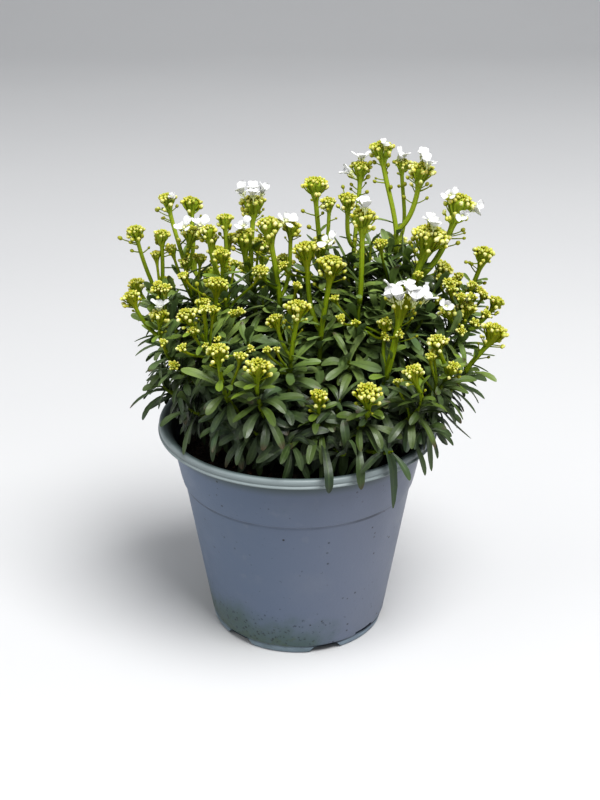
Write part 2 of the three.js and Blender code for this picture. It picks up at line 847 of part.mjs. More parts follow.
// Lays out a stem: its root in the soil and the curves of its shoots and stalks. A second
// shoot forks off the first one over the soil.
function layOut({ name, shoots, tufts = [] }, order) {
  const tips = shoots.map(({ tip }) => new THREE.Vector3(...tip));
  const root = new THREE.Vector3();
  tips.forEach((tip) => root.addScaledVector(tip, ROOT_SHARE / tips.length));
  root.z = SOIL_EDGE_HEIGHT - HOLE_DEPTH + GAP;
  const first = shootCurve(root, tips[0]);
  const grown = shoots.map(({ heads, hanging = [] }, i) => {
    const curve = i === 0 ? first : shootCurve(first.getPoint(FORK), tips[i]);
    const paths = stalkCurves(curve, heads.map(({ at }) => new THREE.Vector3(...at)));
    const stalks = heads.map(({ size, flowers = 0 }, k) => {
      const radius = STALK_RADIUS + STALK_RADIUS_PER_HEAD * size;
      return { path: paths[k], size, flowers, radius };
    });
    const over = hanging.map((place) => new THREE.Vector3(...place));
    return { curve, stalks, over, spray: `spray_${name}_${i + 1}` };
  });
  const tuftTips = tufts.map((place) => new THREE.Vector3(...place));
  const random = randomStream(1000 + order);
  return { name: `leafy_stem_${name}`, shoots: grown, tuftTips, random };
}

// A spray: the stalks that rise from one shoot, each with its head of buds.
function sprayGeometry({ stalks, spray }, random) {
  const shapes = stalks.map((stalk) => {
    take(spray, rodBalls(stalk.path, stalk.radius));
    take(spray, [{ centre: stalk.path.getPoint(1), radius: stalk.size }]);
    return budStalk(stalk, random() * Math.PI);
  });
  return geometryOf(fused(shapes));
}

// The curves of a stem's tufts. Each forks off the stem's first shoot where its way is free.
function tuftCurves({ shoots, tuftTips }) {
  const bearers = shoots.map(({ curve }) => curve);
  tuftTips.forEach((tip) => {
    for (const fork of TUFT_FORKS) {
      const curve = shootCurve(shoots[0].curve.getPoint(fork), tip);
      const balls = rodBalls(curve, TUFT_RADIUS);
      if (isClear(bearers, balls)) {
        take(curve, balls);
        bearers.push(curve);
        break;
      }
    }
  });
  return bearers.slice(shoots.length);
}

// A leaf that is bent clear of everything but its own shoot, or nothing where no way is free.
function clearLeaf(shoot, leaf) {
  for (const length of [leaf.length, SHORTER_LEAF * leaf.length]) {
    for (const lift of LIFTS) {
      for (const swing of SWINGS) {
        const pitch = leaf.pitch + lift;
        const stations = leafStations({ ...leaf, length, pitch, swing: leaf.swing + swing });
        const balls = leafBalls(stations);
        if (isClear([shoot], balls)) {
          take("leaf", balls);
          return blade(stations);
        }
      }
    }
  }
  return null;
}

// The long leaves of a shoot that hang over the rim.
function hangingLeaves({ curve, over }) {
  return over.map((tip) => {
    const stations = hangingStations(curve, tip);
    take("leaf", leafBalls(stations));
    return blade(stations);
  });
}

// The leaves of one shoot or tuft, spiralling up it and standing closer to it towards its tip.
function spiralLeaves(curve, { count, lowest }, random) {
  const leaves = [];
  const start = 360 * random();
  for (let i = 0; i < count; i += 1) {
    const share = i / (count - 1);
    const place = lowest + (HIGHEST_LEAF - lowest) * share;
    leaves.push(
      clearLeaf(curve, {
        root: curve.getPoint(place),
        axis: curve.getTangent(place),
        swing: start + i * GOLDEN_ANGLE,
        pitch: LOW_LEAF_PITCH + (HIGH_LEAF_PITCH - LOW_LEAF_PITCH) * share,
        curl: LEAF_CURL,
        length: LEAF_LENGTH + LEAF_LENGTH_SPREAD * (random() - 0.5),
      }),
    );
  }
  return leaves.filter((leaf) => leaf !== null);
}

const FINISHES = {
  pot: { color: 0x66727f, roughness: 0.42, metalness: 0 },
  soil: { color: 0x1c1712, roughness: 1, metalness: 0 },
  leaf: { color: 0x3f5c3a, roughness: 0.6, metalness: 0 },
  bud: { color: 0xb8c24a, roughness: 0.6, metalness: 0 },
  petal: { color: 0xf4f3ee, roughness: 0.7, metalness: 0 },
};

// Builds the plant: stems and sprays first, then the leaves that have to find their way between.
function plantMeshes(stems) {
  const meshes = [];
  stems.forEach(({ shoots, random }) => {
    shoots.forEach((shoot) => {
      take(shoot.curve, rodBalls(shoot.curve, STEM_RADIUS));
      meshes.push(namedMesh(shoot.spray, sprayGeometry(shoot, random), FINISHES.bud));
      shoot.stalks.filter(({ flowers }) => flowers > 0).forEach((stalk) => {
        const petals = flowersOver(stalk, random);
        take("petals", cornerBalls(petals));
        meshes.push(namedMesh(`flowers_${shoot.spray}`, petals, FINISHES.petal));
      });
    });
  });
  const tufts = stems.map(tuftCurves);
  const hanging = stems.map(({ shoots }) => shoots.flatMap(hangingLeaves));
  stems.forEach(({ name, shoots, random }, i) => {
    const shootShapes = shoots.flatMap(({ curve }) => [
      rod(curve, STEM_RADIUS, STEM_STEPS),
      ...spiralLeaves(curve, SHOOT_LEAVES, random),
    ]);
    const tuftShapes = tufts[i].flatMap((curve) => [
      rod(curve, TUFT_RADIUS, TUFT_STEPS, TUFT_SIDES),
      ...spiralLeaves(curve, TUFT_LEAVES, random),
    ]);
    const shapes = [...shootShapes, ...hanging[i], ...tuftShapes];
    meshes.push(namedMesh(name, geometryOf(fused(shapes)), FINISHES.leaf));
  });
  return meshes;
}

const stems = STEMS.map(layOut);
const candytuft = new THREE.Group();
candytuft.add(namedMesh("pot", potGeometry(), FINISHES.pot));
candytuft.add(namedMesh("soil", soilGeometry(stems.map(({ shoots }) => shoots[0])), FINISHES.soil));
candytuft.add(...plantMeshes(stems));

export default candytuft;
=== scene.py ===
"""Looks of an evergreen candytuft in bud, in the thin plastic pot that it was grown in.

Sizes are in millimetres until a mesh is made. +Z is up and -Y is the side that the plant shows to
the viewer. The stems, stalks and leaves of the solids grow here by the same rule, in finer shapes,
and more leaves, buds and petals are added to them.
"""

import logging
from dataclasses import dataclass, field
from enum import Enum
from functools import lru_cache
from math import ceil, cos, degrees, hypot, pi, radians, sin, sqrt
from typing import Iterator, Sequence

import bmesh
import bpy
import numpy as np
from mathutils import Matrix, Vector

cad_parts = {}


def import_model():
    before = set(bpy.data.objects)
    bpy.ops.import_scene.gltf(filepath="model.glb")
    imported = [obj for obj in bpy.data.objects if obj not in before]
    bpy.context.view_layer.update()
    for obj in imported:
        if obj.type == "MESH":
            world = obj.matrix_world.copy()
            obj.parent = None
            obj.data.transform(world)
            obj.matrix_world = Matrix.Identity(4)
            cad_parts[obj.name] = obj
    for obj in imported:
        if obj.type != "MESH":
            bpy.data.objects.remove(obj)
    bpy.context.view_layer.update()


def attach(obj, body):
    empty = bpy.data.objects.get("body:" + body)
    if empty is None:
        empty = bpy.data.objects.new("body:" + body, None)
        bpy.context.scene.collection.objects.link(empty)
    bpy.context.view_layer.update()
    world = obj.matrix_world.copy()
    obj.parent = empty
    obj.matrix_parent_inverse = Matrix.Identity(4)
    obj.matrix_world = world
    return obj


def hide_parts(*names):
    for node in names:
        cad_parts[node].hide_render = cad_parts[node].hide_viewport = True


LOG = logging.getLogger("candytuft")
MM = 0.001
BODY = "root"
UP = np.array((0.0, 0.0, 1.0))
GOLDEN_ANGLE = 137.5
BLADE_CREASE = 60.0
Point = np.ndarray
Piece = bpy.types.Object
Material = bpy.types.Material
Socket = bpy.types.NodeSocket
Place = tuple[float, float, float]
Colour = tuple[float, float, float]


class Slot(Enum):
    """The record's material slots."""

    POT = "pot_plastic"
    SOIL = "potting_soil"
    LEAF = "leaf"
    BUD = "bud"
    PETAL = "petal"


# Small tools


def unit(vector: Point) -> Point:
    """Returns the vector with a length of one."""
    return vector / np.linalg.norm(vector)


def turned(first: Point, second: Point, angle: float) -> Point:
    """Returns the direction at an angle, in radians, from the first of two square ones."""
    return first * cos(angle) + second * sin(angle)


def about(axis: Point, bearing: float) -> Point:
    """Returns the unit direction square to a unit axis, at a bearing round it in degrees."""
    across = unit(np.array((1.0, 0.0, 0.0)) - axis * axis[0])
    return turned(across, np.cross(axis, across), radians(bearing))


def level_frame(axis: Point) -> tuple[Point, Point]:
    """Returns what the world's X and Y turn into when Z turns into a unit axis."""
    turn = Vector(UP).rotation_difference(Vector(axis))
    return np.array(turn @ Vector((1, 0, 0))), np.array(turn @ Vector((0, 1, 0)))


def corners(count: int) -> list[float]:
    """Returns the angles of evenly spaced corners, in radians."""
    return [2 * pi * j / count for j in range(count)]


def ring(place: Point, across: Sequence[Point], sizes: Sequence[float]) -> list[Point]:
    """Returns a ring of points round a place, across two square directions, by their radii."""
    return [place + turned(*across, angle) * size for angle, size in zip(corners(len(sizes)), sizes)]


class Draws:
    """A seeded stream of numbers from 0 to 1, the same one that the solids grow by."""

    def __init__(self, seed: int) -> None:
        """Starts the stream from any whole number."""
        self.state = seed

    def __call__(self, low: float = 0.0, high: float = 1.0) -> float:
        """Returns the next number, from low to high."""
        self.state = (self.state * 1664525 + 1013904223) % 4294967296
        return low + (high - low) * (self.state / 4294967296)


@dataclass(frozen=True)
class Bend:
    """A smooth curve in space, led by four points."""

    a: Point
    b: Point
    c: Point
    d: Point

    def point(self, t: float) -> Point:
        """Returns the point at a share t of the curve."""
        k = 1 - t
        return k * k * k * self.a + 3 * k * k * t * self.b + 3 * k * t * t * self.c + t * t * t * self.d

    def tangent(self, t: float) -> Point:
        """Returns the unit direction of the curve at a share t."""
        before, after = max(0.0, t - 0.0001), min(1.0, t + 0.0001)
        return unit(self.point(after) - self.point(before))

    def points(self, count: int) -> list[Point]:
        """Returns count + 1 points at even shares."""
        return [self.point(i / count) for i in range(count + 1)]

    def length(self) -> float:
        """Returns the curve's length."""
        return float(np.linalg.norm(np.diff(np.array(self.points(200)), axis=0), axis=1).sum())


def frames(curve: Bend, shares: Sequence[float]) -> Iterator[tuple[Point, Point, Point]]:
    """Walks along a curve with two directions square to it that don't twist.

    Args:
        curve: The curve.
        shares: The places along it.

    Yields:
        The place and the two directions at each share.
    """
    first = about(curve.tangent(shares[0]), 0)
    for share in shares:
        forward = curve.tangent(share)
        first = unit(first - forward * np.dot(first, forward))
        yield curve.point(share), first, np.cross(forward, first)


@lru_cache(maxsize=None)
def loft_faces(rings: int, sides: int) -> tuple[tuple[int, ...], ...]:
    """The faces of a closed tube of rings, with a face over each end.

    Args:
        rings: How many rings there are.
        sides: How many points a ring has.

    Returns:
        The faces, as numbers of points.
    """
    faces = []
    for low in range(0, (rings - 1) * sides, sides):
        for j in range(sides):
            k = (j + 1) % sides
            faces.append((low + j, low + k, low + sides + k, low + sides + j))
    faces.append(tuple(reversed(range(sides))))
    faces.append(tuple(range((rings - 1) * sides, rings * sides)))
    return tuple(faces)


# Objects


def linked(name: str, data: bpy.types.ID) -> Piece:
    """Returns a new object that holds the data, linked to the scene."""
    made = bpy.data.objects.new(name, data)
    bpy.context.scene.collection.objects.link(made)
    return made


def settled(name: str, draft: bmesh.types.BMesh) -> Piece:
    """Returns a new linked object with a draft's mesh, and frees the draft."""
    mesh = bpy.data.meshes.new(name)
    draft.to_mesh(mesh)
    draft.free()
    return linked(name, mesh)


def smooth(mesh: bpy.types.Mesh, crease: float) -> None:
    """Shades a mesh smoothly, but for edges from an angle in degrees."""
    mesh.polygons.foreach_set("use_smooth", [True] * len(mesh.polygons))
    mesh.set_sharp_from_angle(angle=radians(crease))


def seat(piece: Piece, slot: Slot, *nodes: str) -> Piece:
    """Puts a finished piece on the plant's body.

    Args:
        piece: The piece.
        slot: Its material slot; not used.
        *nodes: The solids that it takes the place of.

    Returns:
        The piece.
    """
    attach(piece, BODY)
    if nodes:
        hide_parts(*nodes)
    return piece


@dataclass
class Draft:
    """A mesh in the making: its seeded numbers, points, faces, tones and each face's finish."""

    draws: Draws
    points: list[np.ndarray] = field(default_factory=list)
    faces: list[tuple[int, ...]] = field(default_factory=list)
    tones: list[np.ndarray] = field(default_factory=list)
    finishes: list[int] = field(default_factory=list)
    count: int = 0

    def loft(self, rows: Sequence[tuple[Sequence, Sequence]], finish: int = 0) -> None:
        """Adds a closed tube.

        Args:
            rows: The points of each ring, with the four values of each point, or of them all, that
                the finishes read.
            finish: The number of the piece's finish.
        """
        rings, tones = (np.array(part) for part in zip(*rows))
        steps, sides = rings.shape[:2]
        faces = loft_faces(steps, sides)
        self.faces.extend(tuple(self.count + i for i in face) for face in faces)
        self.points.append(rings.reshape(-1, 3))
        if tones.ndim == 2:
            tones = np.repeat(tones[:, None, :], sides, axis=1)
        self.tones.append(tones.reshape(-1, 4))
        self.finishes.extend([finish] * len(faces))
        self.count += steps * sides

    def piece(
        self, name: str, materials: Sequence[Material], crease: float = 180.0
    ) -> Piece:
        """Makes the object.

        Args:
            name: The piece's name.
            materials: Its finishes, in the order of their numbers.
            crease: The angle between faces from which an edge looks sharp, in degrees.

        Returns:
            The new object, linked to the scene.
        """
        mesh = bpy.data.meshes.new(name)
        mesh.from_pydata((np.concatenate(self.points) * MM).tolist(), [], self.faces)
        tone = mesh.attributes.new("tone", "FLOAT_COLOR", "POINT")
        tone.data.foreach_set("color", np.concatenate(self.tones).astype(np.float32).ravel())
        for material in materials:
            mesh.materials.append(material)
        mesh.polygons.foreach_set("material_index", self.finishes)
        mesh.update()
        smooth(mesh, crease)
        return linked(name, mesh)


# Finishes


class Shader:
    """The node tree of one finish, with short calls for the nodes that the finishes share."""

    def __init__(self, name: str) -> None:
        """Starts a material of the given name."""
        self.material = bpy.data.materials.new(name)
        self.material.use_nodes = True
        self.tree = self.material.node_tree
        self.surface = self.tree.nodes["Principled BSDF"]

    def node(self, kind: str, *inputs: object, **values: object) -> bpy.types.Node:
        """Adds a node.

        Args:
            kind: The node's type.
            *inputs: What its first sockets get.
            **values: Its properties.

        Returns:
            The node.
        """
        node = self.tree.nodes.new(kind)
        for name, value in values.items():
            setattr(node, name, value)
        for socket, value in zip(node.inputs, inputs):
            self.feed(socket, value)
        return node

    def feed(self, socket: Socket, value: object) -> None:
        """Links an output to a socket, or sets its value."""
        if isinstance(value, Socket):
            self.tree.links.new(value, socket)
        else:
            socket.default_value = value

    def place(self) -> Socket:
        """Returns the place on the piece, in metres."""
        return self.node("ShaderNodeTexCoord").outputs["Object"]

    def axis(self, name: str) -> Socket:
        """Returns one coordinate, X, Y or Z, of the place on the piece."""
        return self.node("ShaderNodeSeparateXYZ", self.place()).outputs[name]

    def tone(self) -> tuple[Socket, ...]:
        """Returns the four values that the mesh carries at each point."""
        tone = self.node("ShaderNodeAttribute", attribute_name="tone")
        split = self.node("ShaderNodeSeparateColor", tone.outputs["Color"])
        return (*split.outputs, tone.outputs["Alpha"])

    def noise(self, scale: float, detail: float = 3.0, roughness: float = 0.5) -> Socket:
        """A cloudy pattern.

        Args:
            scale: Clouds to the metre.
            detail: How many finer layers it has.
            roughness: How strong those are.

        Returns:
            A value from 0 to 1.
        """
        noise = self.node("ShaderNodeTexNoise", self.place())
        for name, value in (("Scale", scale), ("Detail", detail), ("Roughness", roughness)):
            noise.inputs[name].default_value = value
        return noise.outputs["Fac"]

    def cells(self, scale: float) -> Socket:
        """Returns the distance to the middle of scattered cells, scale of them to the metre."""
        cells = self.node("ShaderNodeTexVoronoi", self.place())
        cells.inputs["Scale"].default_value = scale
        return cells.outputs["Distance"]

    def span(
        self, value: object, low: float, high: float, start: float = 0.0, end: float = 1.0
    ) -> Socket:
        """Maps low to high onto start to end, smoothly, and holds it at both ends.

        Args:
            value: What is mapped.
            low: The value that gives start.
            high: The value that gives end.
            start: The result at low.
            end: The result at high.

        Returns:
            The mapped value.
        """
        kind = "ShaderNodeMapRange"
        return self.node(kind, value, low, high, start, end, interpolation_type="SMOOTHSTEP").outputs[0]

    def times(self, a: object, b: object) -> Socket:
        """Returns a times b."""
        return self.node("ShaderNodeMath", a, b, operation="MULTIPLY").outputs[0]

    def plus(self, a: object, b: object) -> Socket:
        """Returns a plus b."""
        return self.node("ShaderNodeMath", a, b, operation="ADD").outputs[0]

    def blend(self, share: object, a: object, b: object) -> Socket:
        """Returns the colour a where share is 0 and b where it is 1."""
        node = self.node("ShaderNodeMix", data_type="RGBA")
        self.feed(node.inputs["Factor"], share)
        for socket, value in zip(node.inputs[6:8], (a, b)):
            self.feed(socket, value if isinstance(value, Socket) else (*value, 1.0))
        return node.outputs[2]

    def coats(self, colour: object, *coats: tuple[object, object]) -> object:
        """Returns a colour under coats, each given as its share and its own colour."""
        for share, coat in coats:
            colour = self.blend(share, colour, coat)
        return colour

    def bump(self, height: Socket, depth: float) -> None:
        """Raises the surface by height times depth, in millimetres."""
        bump = self.node("ShaderNodeBump")
        for name, value in (("Strength", 1.0), ("Distance", depth * MM), ("Height", height)):
            self.feed(bump.inputs[name], value)
        self.feed(self.surface.inputs["Normal"], bump.outputs[0])

    def dress(self, colour: object, roughness: object, **values: object) -> Material:
        """Sets the surface's sockets, the others named with _ for a space, and returns the material."""
        for name, value in {"Base_Color": colour, "Roughness": roughness, **values}.items():
            self.feed(self.surface.inputs[name.replace("_", " ")], value)
        return self.material


@dataclass(frozen=True)
class PotPlastic:
    """Thin blue-grey moulded plastic with dust, water marks, specks and algae low down, with painted light
    and shade: lighter to the right, painted shadow lines under the step and over the foot ring, and painted
    shade inside the mouth.
    """

    # left and right: painted light, darker on the left and lighter on the right, where more light falls.
    left: Colour = (0.100, 0.138, 0.206)
    right: Colour = (0.146, 0.166, 0.222)
    lip: Colour = (0.212, 0.248, 0.252)
    # Painted shade inside the mouth and on the inner slope of the rim.
    inside: Colour = (0.070, 0.095, 0.095)
    dust: Colour = (0.300, 0.310, 0.310)
    algae: Colour = (0.067, 0.106, 0.104)
    moss: Colour = (0.060, 0.085, 0.020)
    # Dark of the real specks, and of the painted shadow lines in the grooves.
    grime_and_groove_shade: Colour = (0.016, 0.022, 0.034)
    speck: Colour = (0.020, 0.020, 0.022)
    foot: Colour = (0.190, 0.245, 0.290)

    # Painted shadow lines in the grooves under the step and over the foot ring: from and up to a height in
    # metres, and how dark at most.
    grooves = ((0.0739, 0.0753, 0.62), (0.0030, 0.0040, 0.9))

    def material(self) -> Material:
        """Returns the material."""
        s = Shader("pot_plastic")
        x, y, z = (s.axis(name) for name in "XYZ")
        clouds = s.noise(38.0, 4.0, 0.6)
        low = s.times(s.span(z, 0.034, 0.002), s.span(x, 0.032, -0.012, 0.10, 1.0))
        film = s.plus(s.noise(48.0, 5.0, 0.65), s.times(low, 0.8))
        patch = s.plus(s.noise(300.0, 5.0, 0.75), s.times(low, 0.3))
        dots = s.times(s.span(s.cells(430.0), 0.40, 0.20), s.span(patch, 0.58, 0.70))
        dots = s.times(dots, s.span(s.noise(900.0, 3.0), 0.40, 0.54))
        body = s.coats(
            self.left,
            # Painted light: the body gets lighter towards the right.
            (s.span(x, -0.045, 0.05), self.right),
            (s.span(clouds, 0.45, 0.85, 0.0, 0.14), self.dust),
            (s.span(s.noise(150.0, 2.0), 0.64, 0.8, 0.0, 0.10), self.dust),
            (s.span(film, 0.62, 1.22, 0.0, 0.95), self.algae),
            (s.span(patch, 0.74, 0.86, 0.0, 0.3), self.moss),
            (s.times(dots, 0.75), self.grime_and_groove_shade),
            (s.times(s.span(z, 0.0040, 0.0034), s.span(s.noise(120.0), 0.3, 0.6, 0.55, 0.95)), self.foot),
            (s.times(s.span(s.cells(240.0), 0.17, 0.08), s.span(s.noise(60.0), 0.50, 0.62)), self.speck),
        )
        # Painted shadow lines in the grooves under the step and over the foot ring.
        for bottom, top, share in self.grooves:
            under, over = s.span(z, bottom - 0.0003, bottom + 0.0002), s.span(z, top + 0.0002, top - 0.0002)
            groove_shade = s.times(s.times(under, over), s.span(s.noise(32.0, 3.0), 0.40, 0.60, 0.12, share))
            body = s.blend(groove_shade, body, self.grime_and_groove_shade)
        flat = s.node("ShaderNodeCombineXYZ", x, y).outputs[0]
        reach = s.node("ShaderNodeVectorMath", flat, operation="LENGTH").outputs["Value"]
        # Painted shade inside the mouth and on the inner slope of the rim.
        shaded_mouth = s.times(s.span(reach, 0.0647, 0.0621), s.span(z, 0.092, 0.098))
        body = s.coats(body, (s.span(z, 0.0996, 0.1002), self.lip), (shaded_mouth, self.inside))
        s.bump(s.plus(s.noise(900.0, 2.0), s.times(s.noise(60.0), 0.8)), 0.05)
        rough = s.span(clouds, 0.3, 0.8, 0.36, 0.56)
        return s.dress(body, rough, Specular_IOR_Level=0.42)


@dataclass(frozen=True)
class Compost:
    """Dark crumbly compost with red-brown bits."""

    dark: Colour = (0.010, 0.008, 0.007)
    crumb: Colour = (0.045, 0.030, 0.021)
    bit: Colour = (0.120, 0.060, 0.035)

    def material(self) -> Material:
        """Returns the material."""
        s = Shader("compost")
        grain = s.noise(520.0, 6.0, 0.7)
        colour = s.coats(
            self.dark,
            (s.span(grain, 0.38, 0.7), self.crumb),
            (s.span(s.noise(260.0, 2.0), 0.64, 0.72), self.bit),
            (s.times(s.tone()[0], 0.6), self.bit),
        )
        s.bump(grain, 0.9)
        return s.dress(colour, 0.95, Specular_IOR_Level=0.2)


@dataclass(frozen=True)
class LeafSkin:
    """Leathery dark green leaf with a soft bluish sheen, a paler midrib and a yellower youth, with painted
    light higher up and towards the back and painted shade at the foot of low leaves.
    """

    shade: Colour = (0.010, 0.021, 0.006)
    sun: Colour = (0.040, 0.068, 0.015)
    # The high_ colours are lighter copies for leaves higher up and further back: painted light.
    high_shade: Colour = (0.104, 0.164, 0.047)
    high_sun: Colour = (0.215, 0.288, 0.078)
    blue: Colour = (0.030, 0.058, 0.034)
    high_blue: Colour = (0.125, 0.192, 0.110)
    young: Colour = (0.170, 0.250, 0.014)
    rib: Colour = (0.085, 0.130, 0.040)
    # Mostly painted shade at the foot of low leaves inside the bush, partly their real darker base.
    foot: Colour = (0.006, 0.011, 0.003)
    dry: Colour = (0.052, 0.036, 0.016)

    def material(self) -> Material:
        """Returns the material."""
        s = Shader("leaf_skin")
        tint, along, across, youth = s.tone()
        # Painted light: leaves are lighter higher up and towards the back.
        high = s.span(s.plus(s.axis("Z"), s.times(s.axis("Y"), 0.5)), 0.098, 0.148)
        mottle = s.noise(420.0, 3.0)
        rib = s.times(s.span(across, 0.42, 0.0), s.span(along, 1.0, 0.1, 0.15, 0.6))
        # Mostly painted shade at the foot of low leaves inside the bush, partly their real darker base.
        foot = s.times(s.span(along, 0.55, 0.0, 0.0, 0.8), s.span(high, 0.7, 0.0))
        dry = s.times(s.span(s.noise(75.0, 2.0), 0.56, 0.66), s.span(along, 0.78, 0.98))
        colour = s.coats(
            s.blend(high, self.shade, self.high_shade),
            (tint, s.blend(high, self.sun, self.high_sun)),
            (s.span(s.noise(45.0), 0.45, 0.7, 0.0, 0.7), s.blend(high, self.blue, self.high_blue)),
            (s.span(mottle, 0.5, 0.8, 0.0, 0.35), self.rib),
            (youth, self.young),
            (rib, self.rib),
            (foot, self.foot),
            (s.times(dry, 0.9), self.dry),
        )
        s.bump(s.plus(mottle, s.span(across, 0.3, 0.0, 0.6, 0.0)), 0.12)
        rough = s.span(mottle, 0.3, 0.75, 0.40, 0.58)
        return s.dress(colour, rough, Specular_IOR_Level=0.5, Sheen_Weight=0.06, Sheen_Roughness=0.4)


@dataclass(frozen=True)
class StalkSkin:
    """Bright yellow-green flower stalk, woody brown at a root, a little darker in its grooves and under its
    head with painted shade, and lighter high up at the back with painted light.
    """

    green: Colour = (0.112, 0.176, 0.003)
    lime: Colour = (0.195, 0.262, 0.006)
    deep: Colour = (0.080, 0.105, 0.004)
    olive: Colour = (0.262, 0.265, 0.006)
    # Painted light on the high stalks at the back.
    painted_back_light: Colour = (0.335, 0.430, 0.034)
    wood: Colour = (0.070, 0.050, 0.032)

    def material(self) -> Material:
        """Returns the material."""
        s = Shader("stalk_skin")
        tint, along, groove, woody = s.tone()
        colour = s.coats(
            self.green,
            (tint, self.lime),
            (s.span(s.noise(260.0), 0.45, 0.75, 0.0, 0.5), self.lime),
            (s.span(along, 0.75, 1.15, 0.0, 0.7), self.olive),
            # Painted light: high stalks at the back get lighter.
            (s.span(s.plus(s.axis("Z"), s.axis("Y")), 0.165, 0.210), self.painted_back_light),
            # Painted shade in the grooves and on the top of the cone under the buds.
            (s.times(groove, 0.45), self.deep),
            (s.span(along, 0.3, 0.0, 0.0, 0.55), self.deep),
            (woody, self.wood),
        )
        s.bump(s.noise(700.0, 3.0), 0.15)
        glow = {"Subsurface_Weight": 0.1, "Subsurface_Scale": 0.002}
        return s.dress(colour, 0.6, Specular_IOR_Level=0.14, **glow)


@dataclass(frozen=True)
class BudSkin:
    """Round closed bud, green at its foot and pale cream at its tip, with painted shade low on it and in its
    creases.
    """

    green: Colour = (0.270, 0.300, 0.006)
    yellow: Colour = (0.560, 0.560, 0.030)
    cream: Colour = (0.900, 0.880, 0.460)
    # seam: dark olive of the shaded gaps between buds, used as painted shade.
    seam: Colour = (0.150, 0.155, 0.004)

    def material(self) -> Material:
        """Returns the material."""
        s = Shader("bud_skin")
        tint, along, groove, pale = s.tone()
        colour = s.coats(
            self.green,
            (tint, self.yellow),
            (s.times(s.span(along, 0.35, 0.9), pale), self.cream),
            # Painted shade at the bud's foot and in its sepal creases.
            (s.span(along, 0.30, 0.0, 0.0, 0.7), self.seam),
            (s.times(groove, 0.5), self.seam),
        )
        s.bump(s.noise(900.0, 2.0), 0.06)
        glow = {"Subsurface_Weight": 0.15, "Subsurface_Scale": 0.0015}
        return s.dress(colour, 0.45, Specular_IOR_Level=0.3, **glow)


@dataclass(frozen=True)
class PetalSkin:
    """Soft white petal with faint veins and a greenish claw."""

    white: Colour = (0.860, 0.860, 0.850)
    vein: Colour = (0.760, 0.760, 0.760)
    claw: Colour = (0.640, 0.680, 0.260)

    def material(self) -> Material:
        """Returns the material."""
        s = Shader("petal_skin")
        _, along, across, middle = s.tone()
        fan = s.node("ShaderNodeMath", s.times(across, 34.0), operation="SINE").outputs[0]
        colour = s.coats(
            self.white,
            (s.span(fan, 0.2, 1.0, 0.0, 0.5), self.vein),
            (s.span(along, 0.42, 0.10), self.claw),
            (middle, self.claw),
        )
        s.bump(s.plus(fan, s.noise(500.0)), 0.06)
        return s.dress(colour, 0.7, Specular_IOR_Level=0.25)


# The pot


def stepped(radius: float, height: float, *steps: tuple[float, float]) -> list[tuple[float, float]]:
    """Returns the points of a section at steps outwards and up from a radius and a height."""
    return [(radius + out, height + up) for out, up in steps]


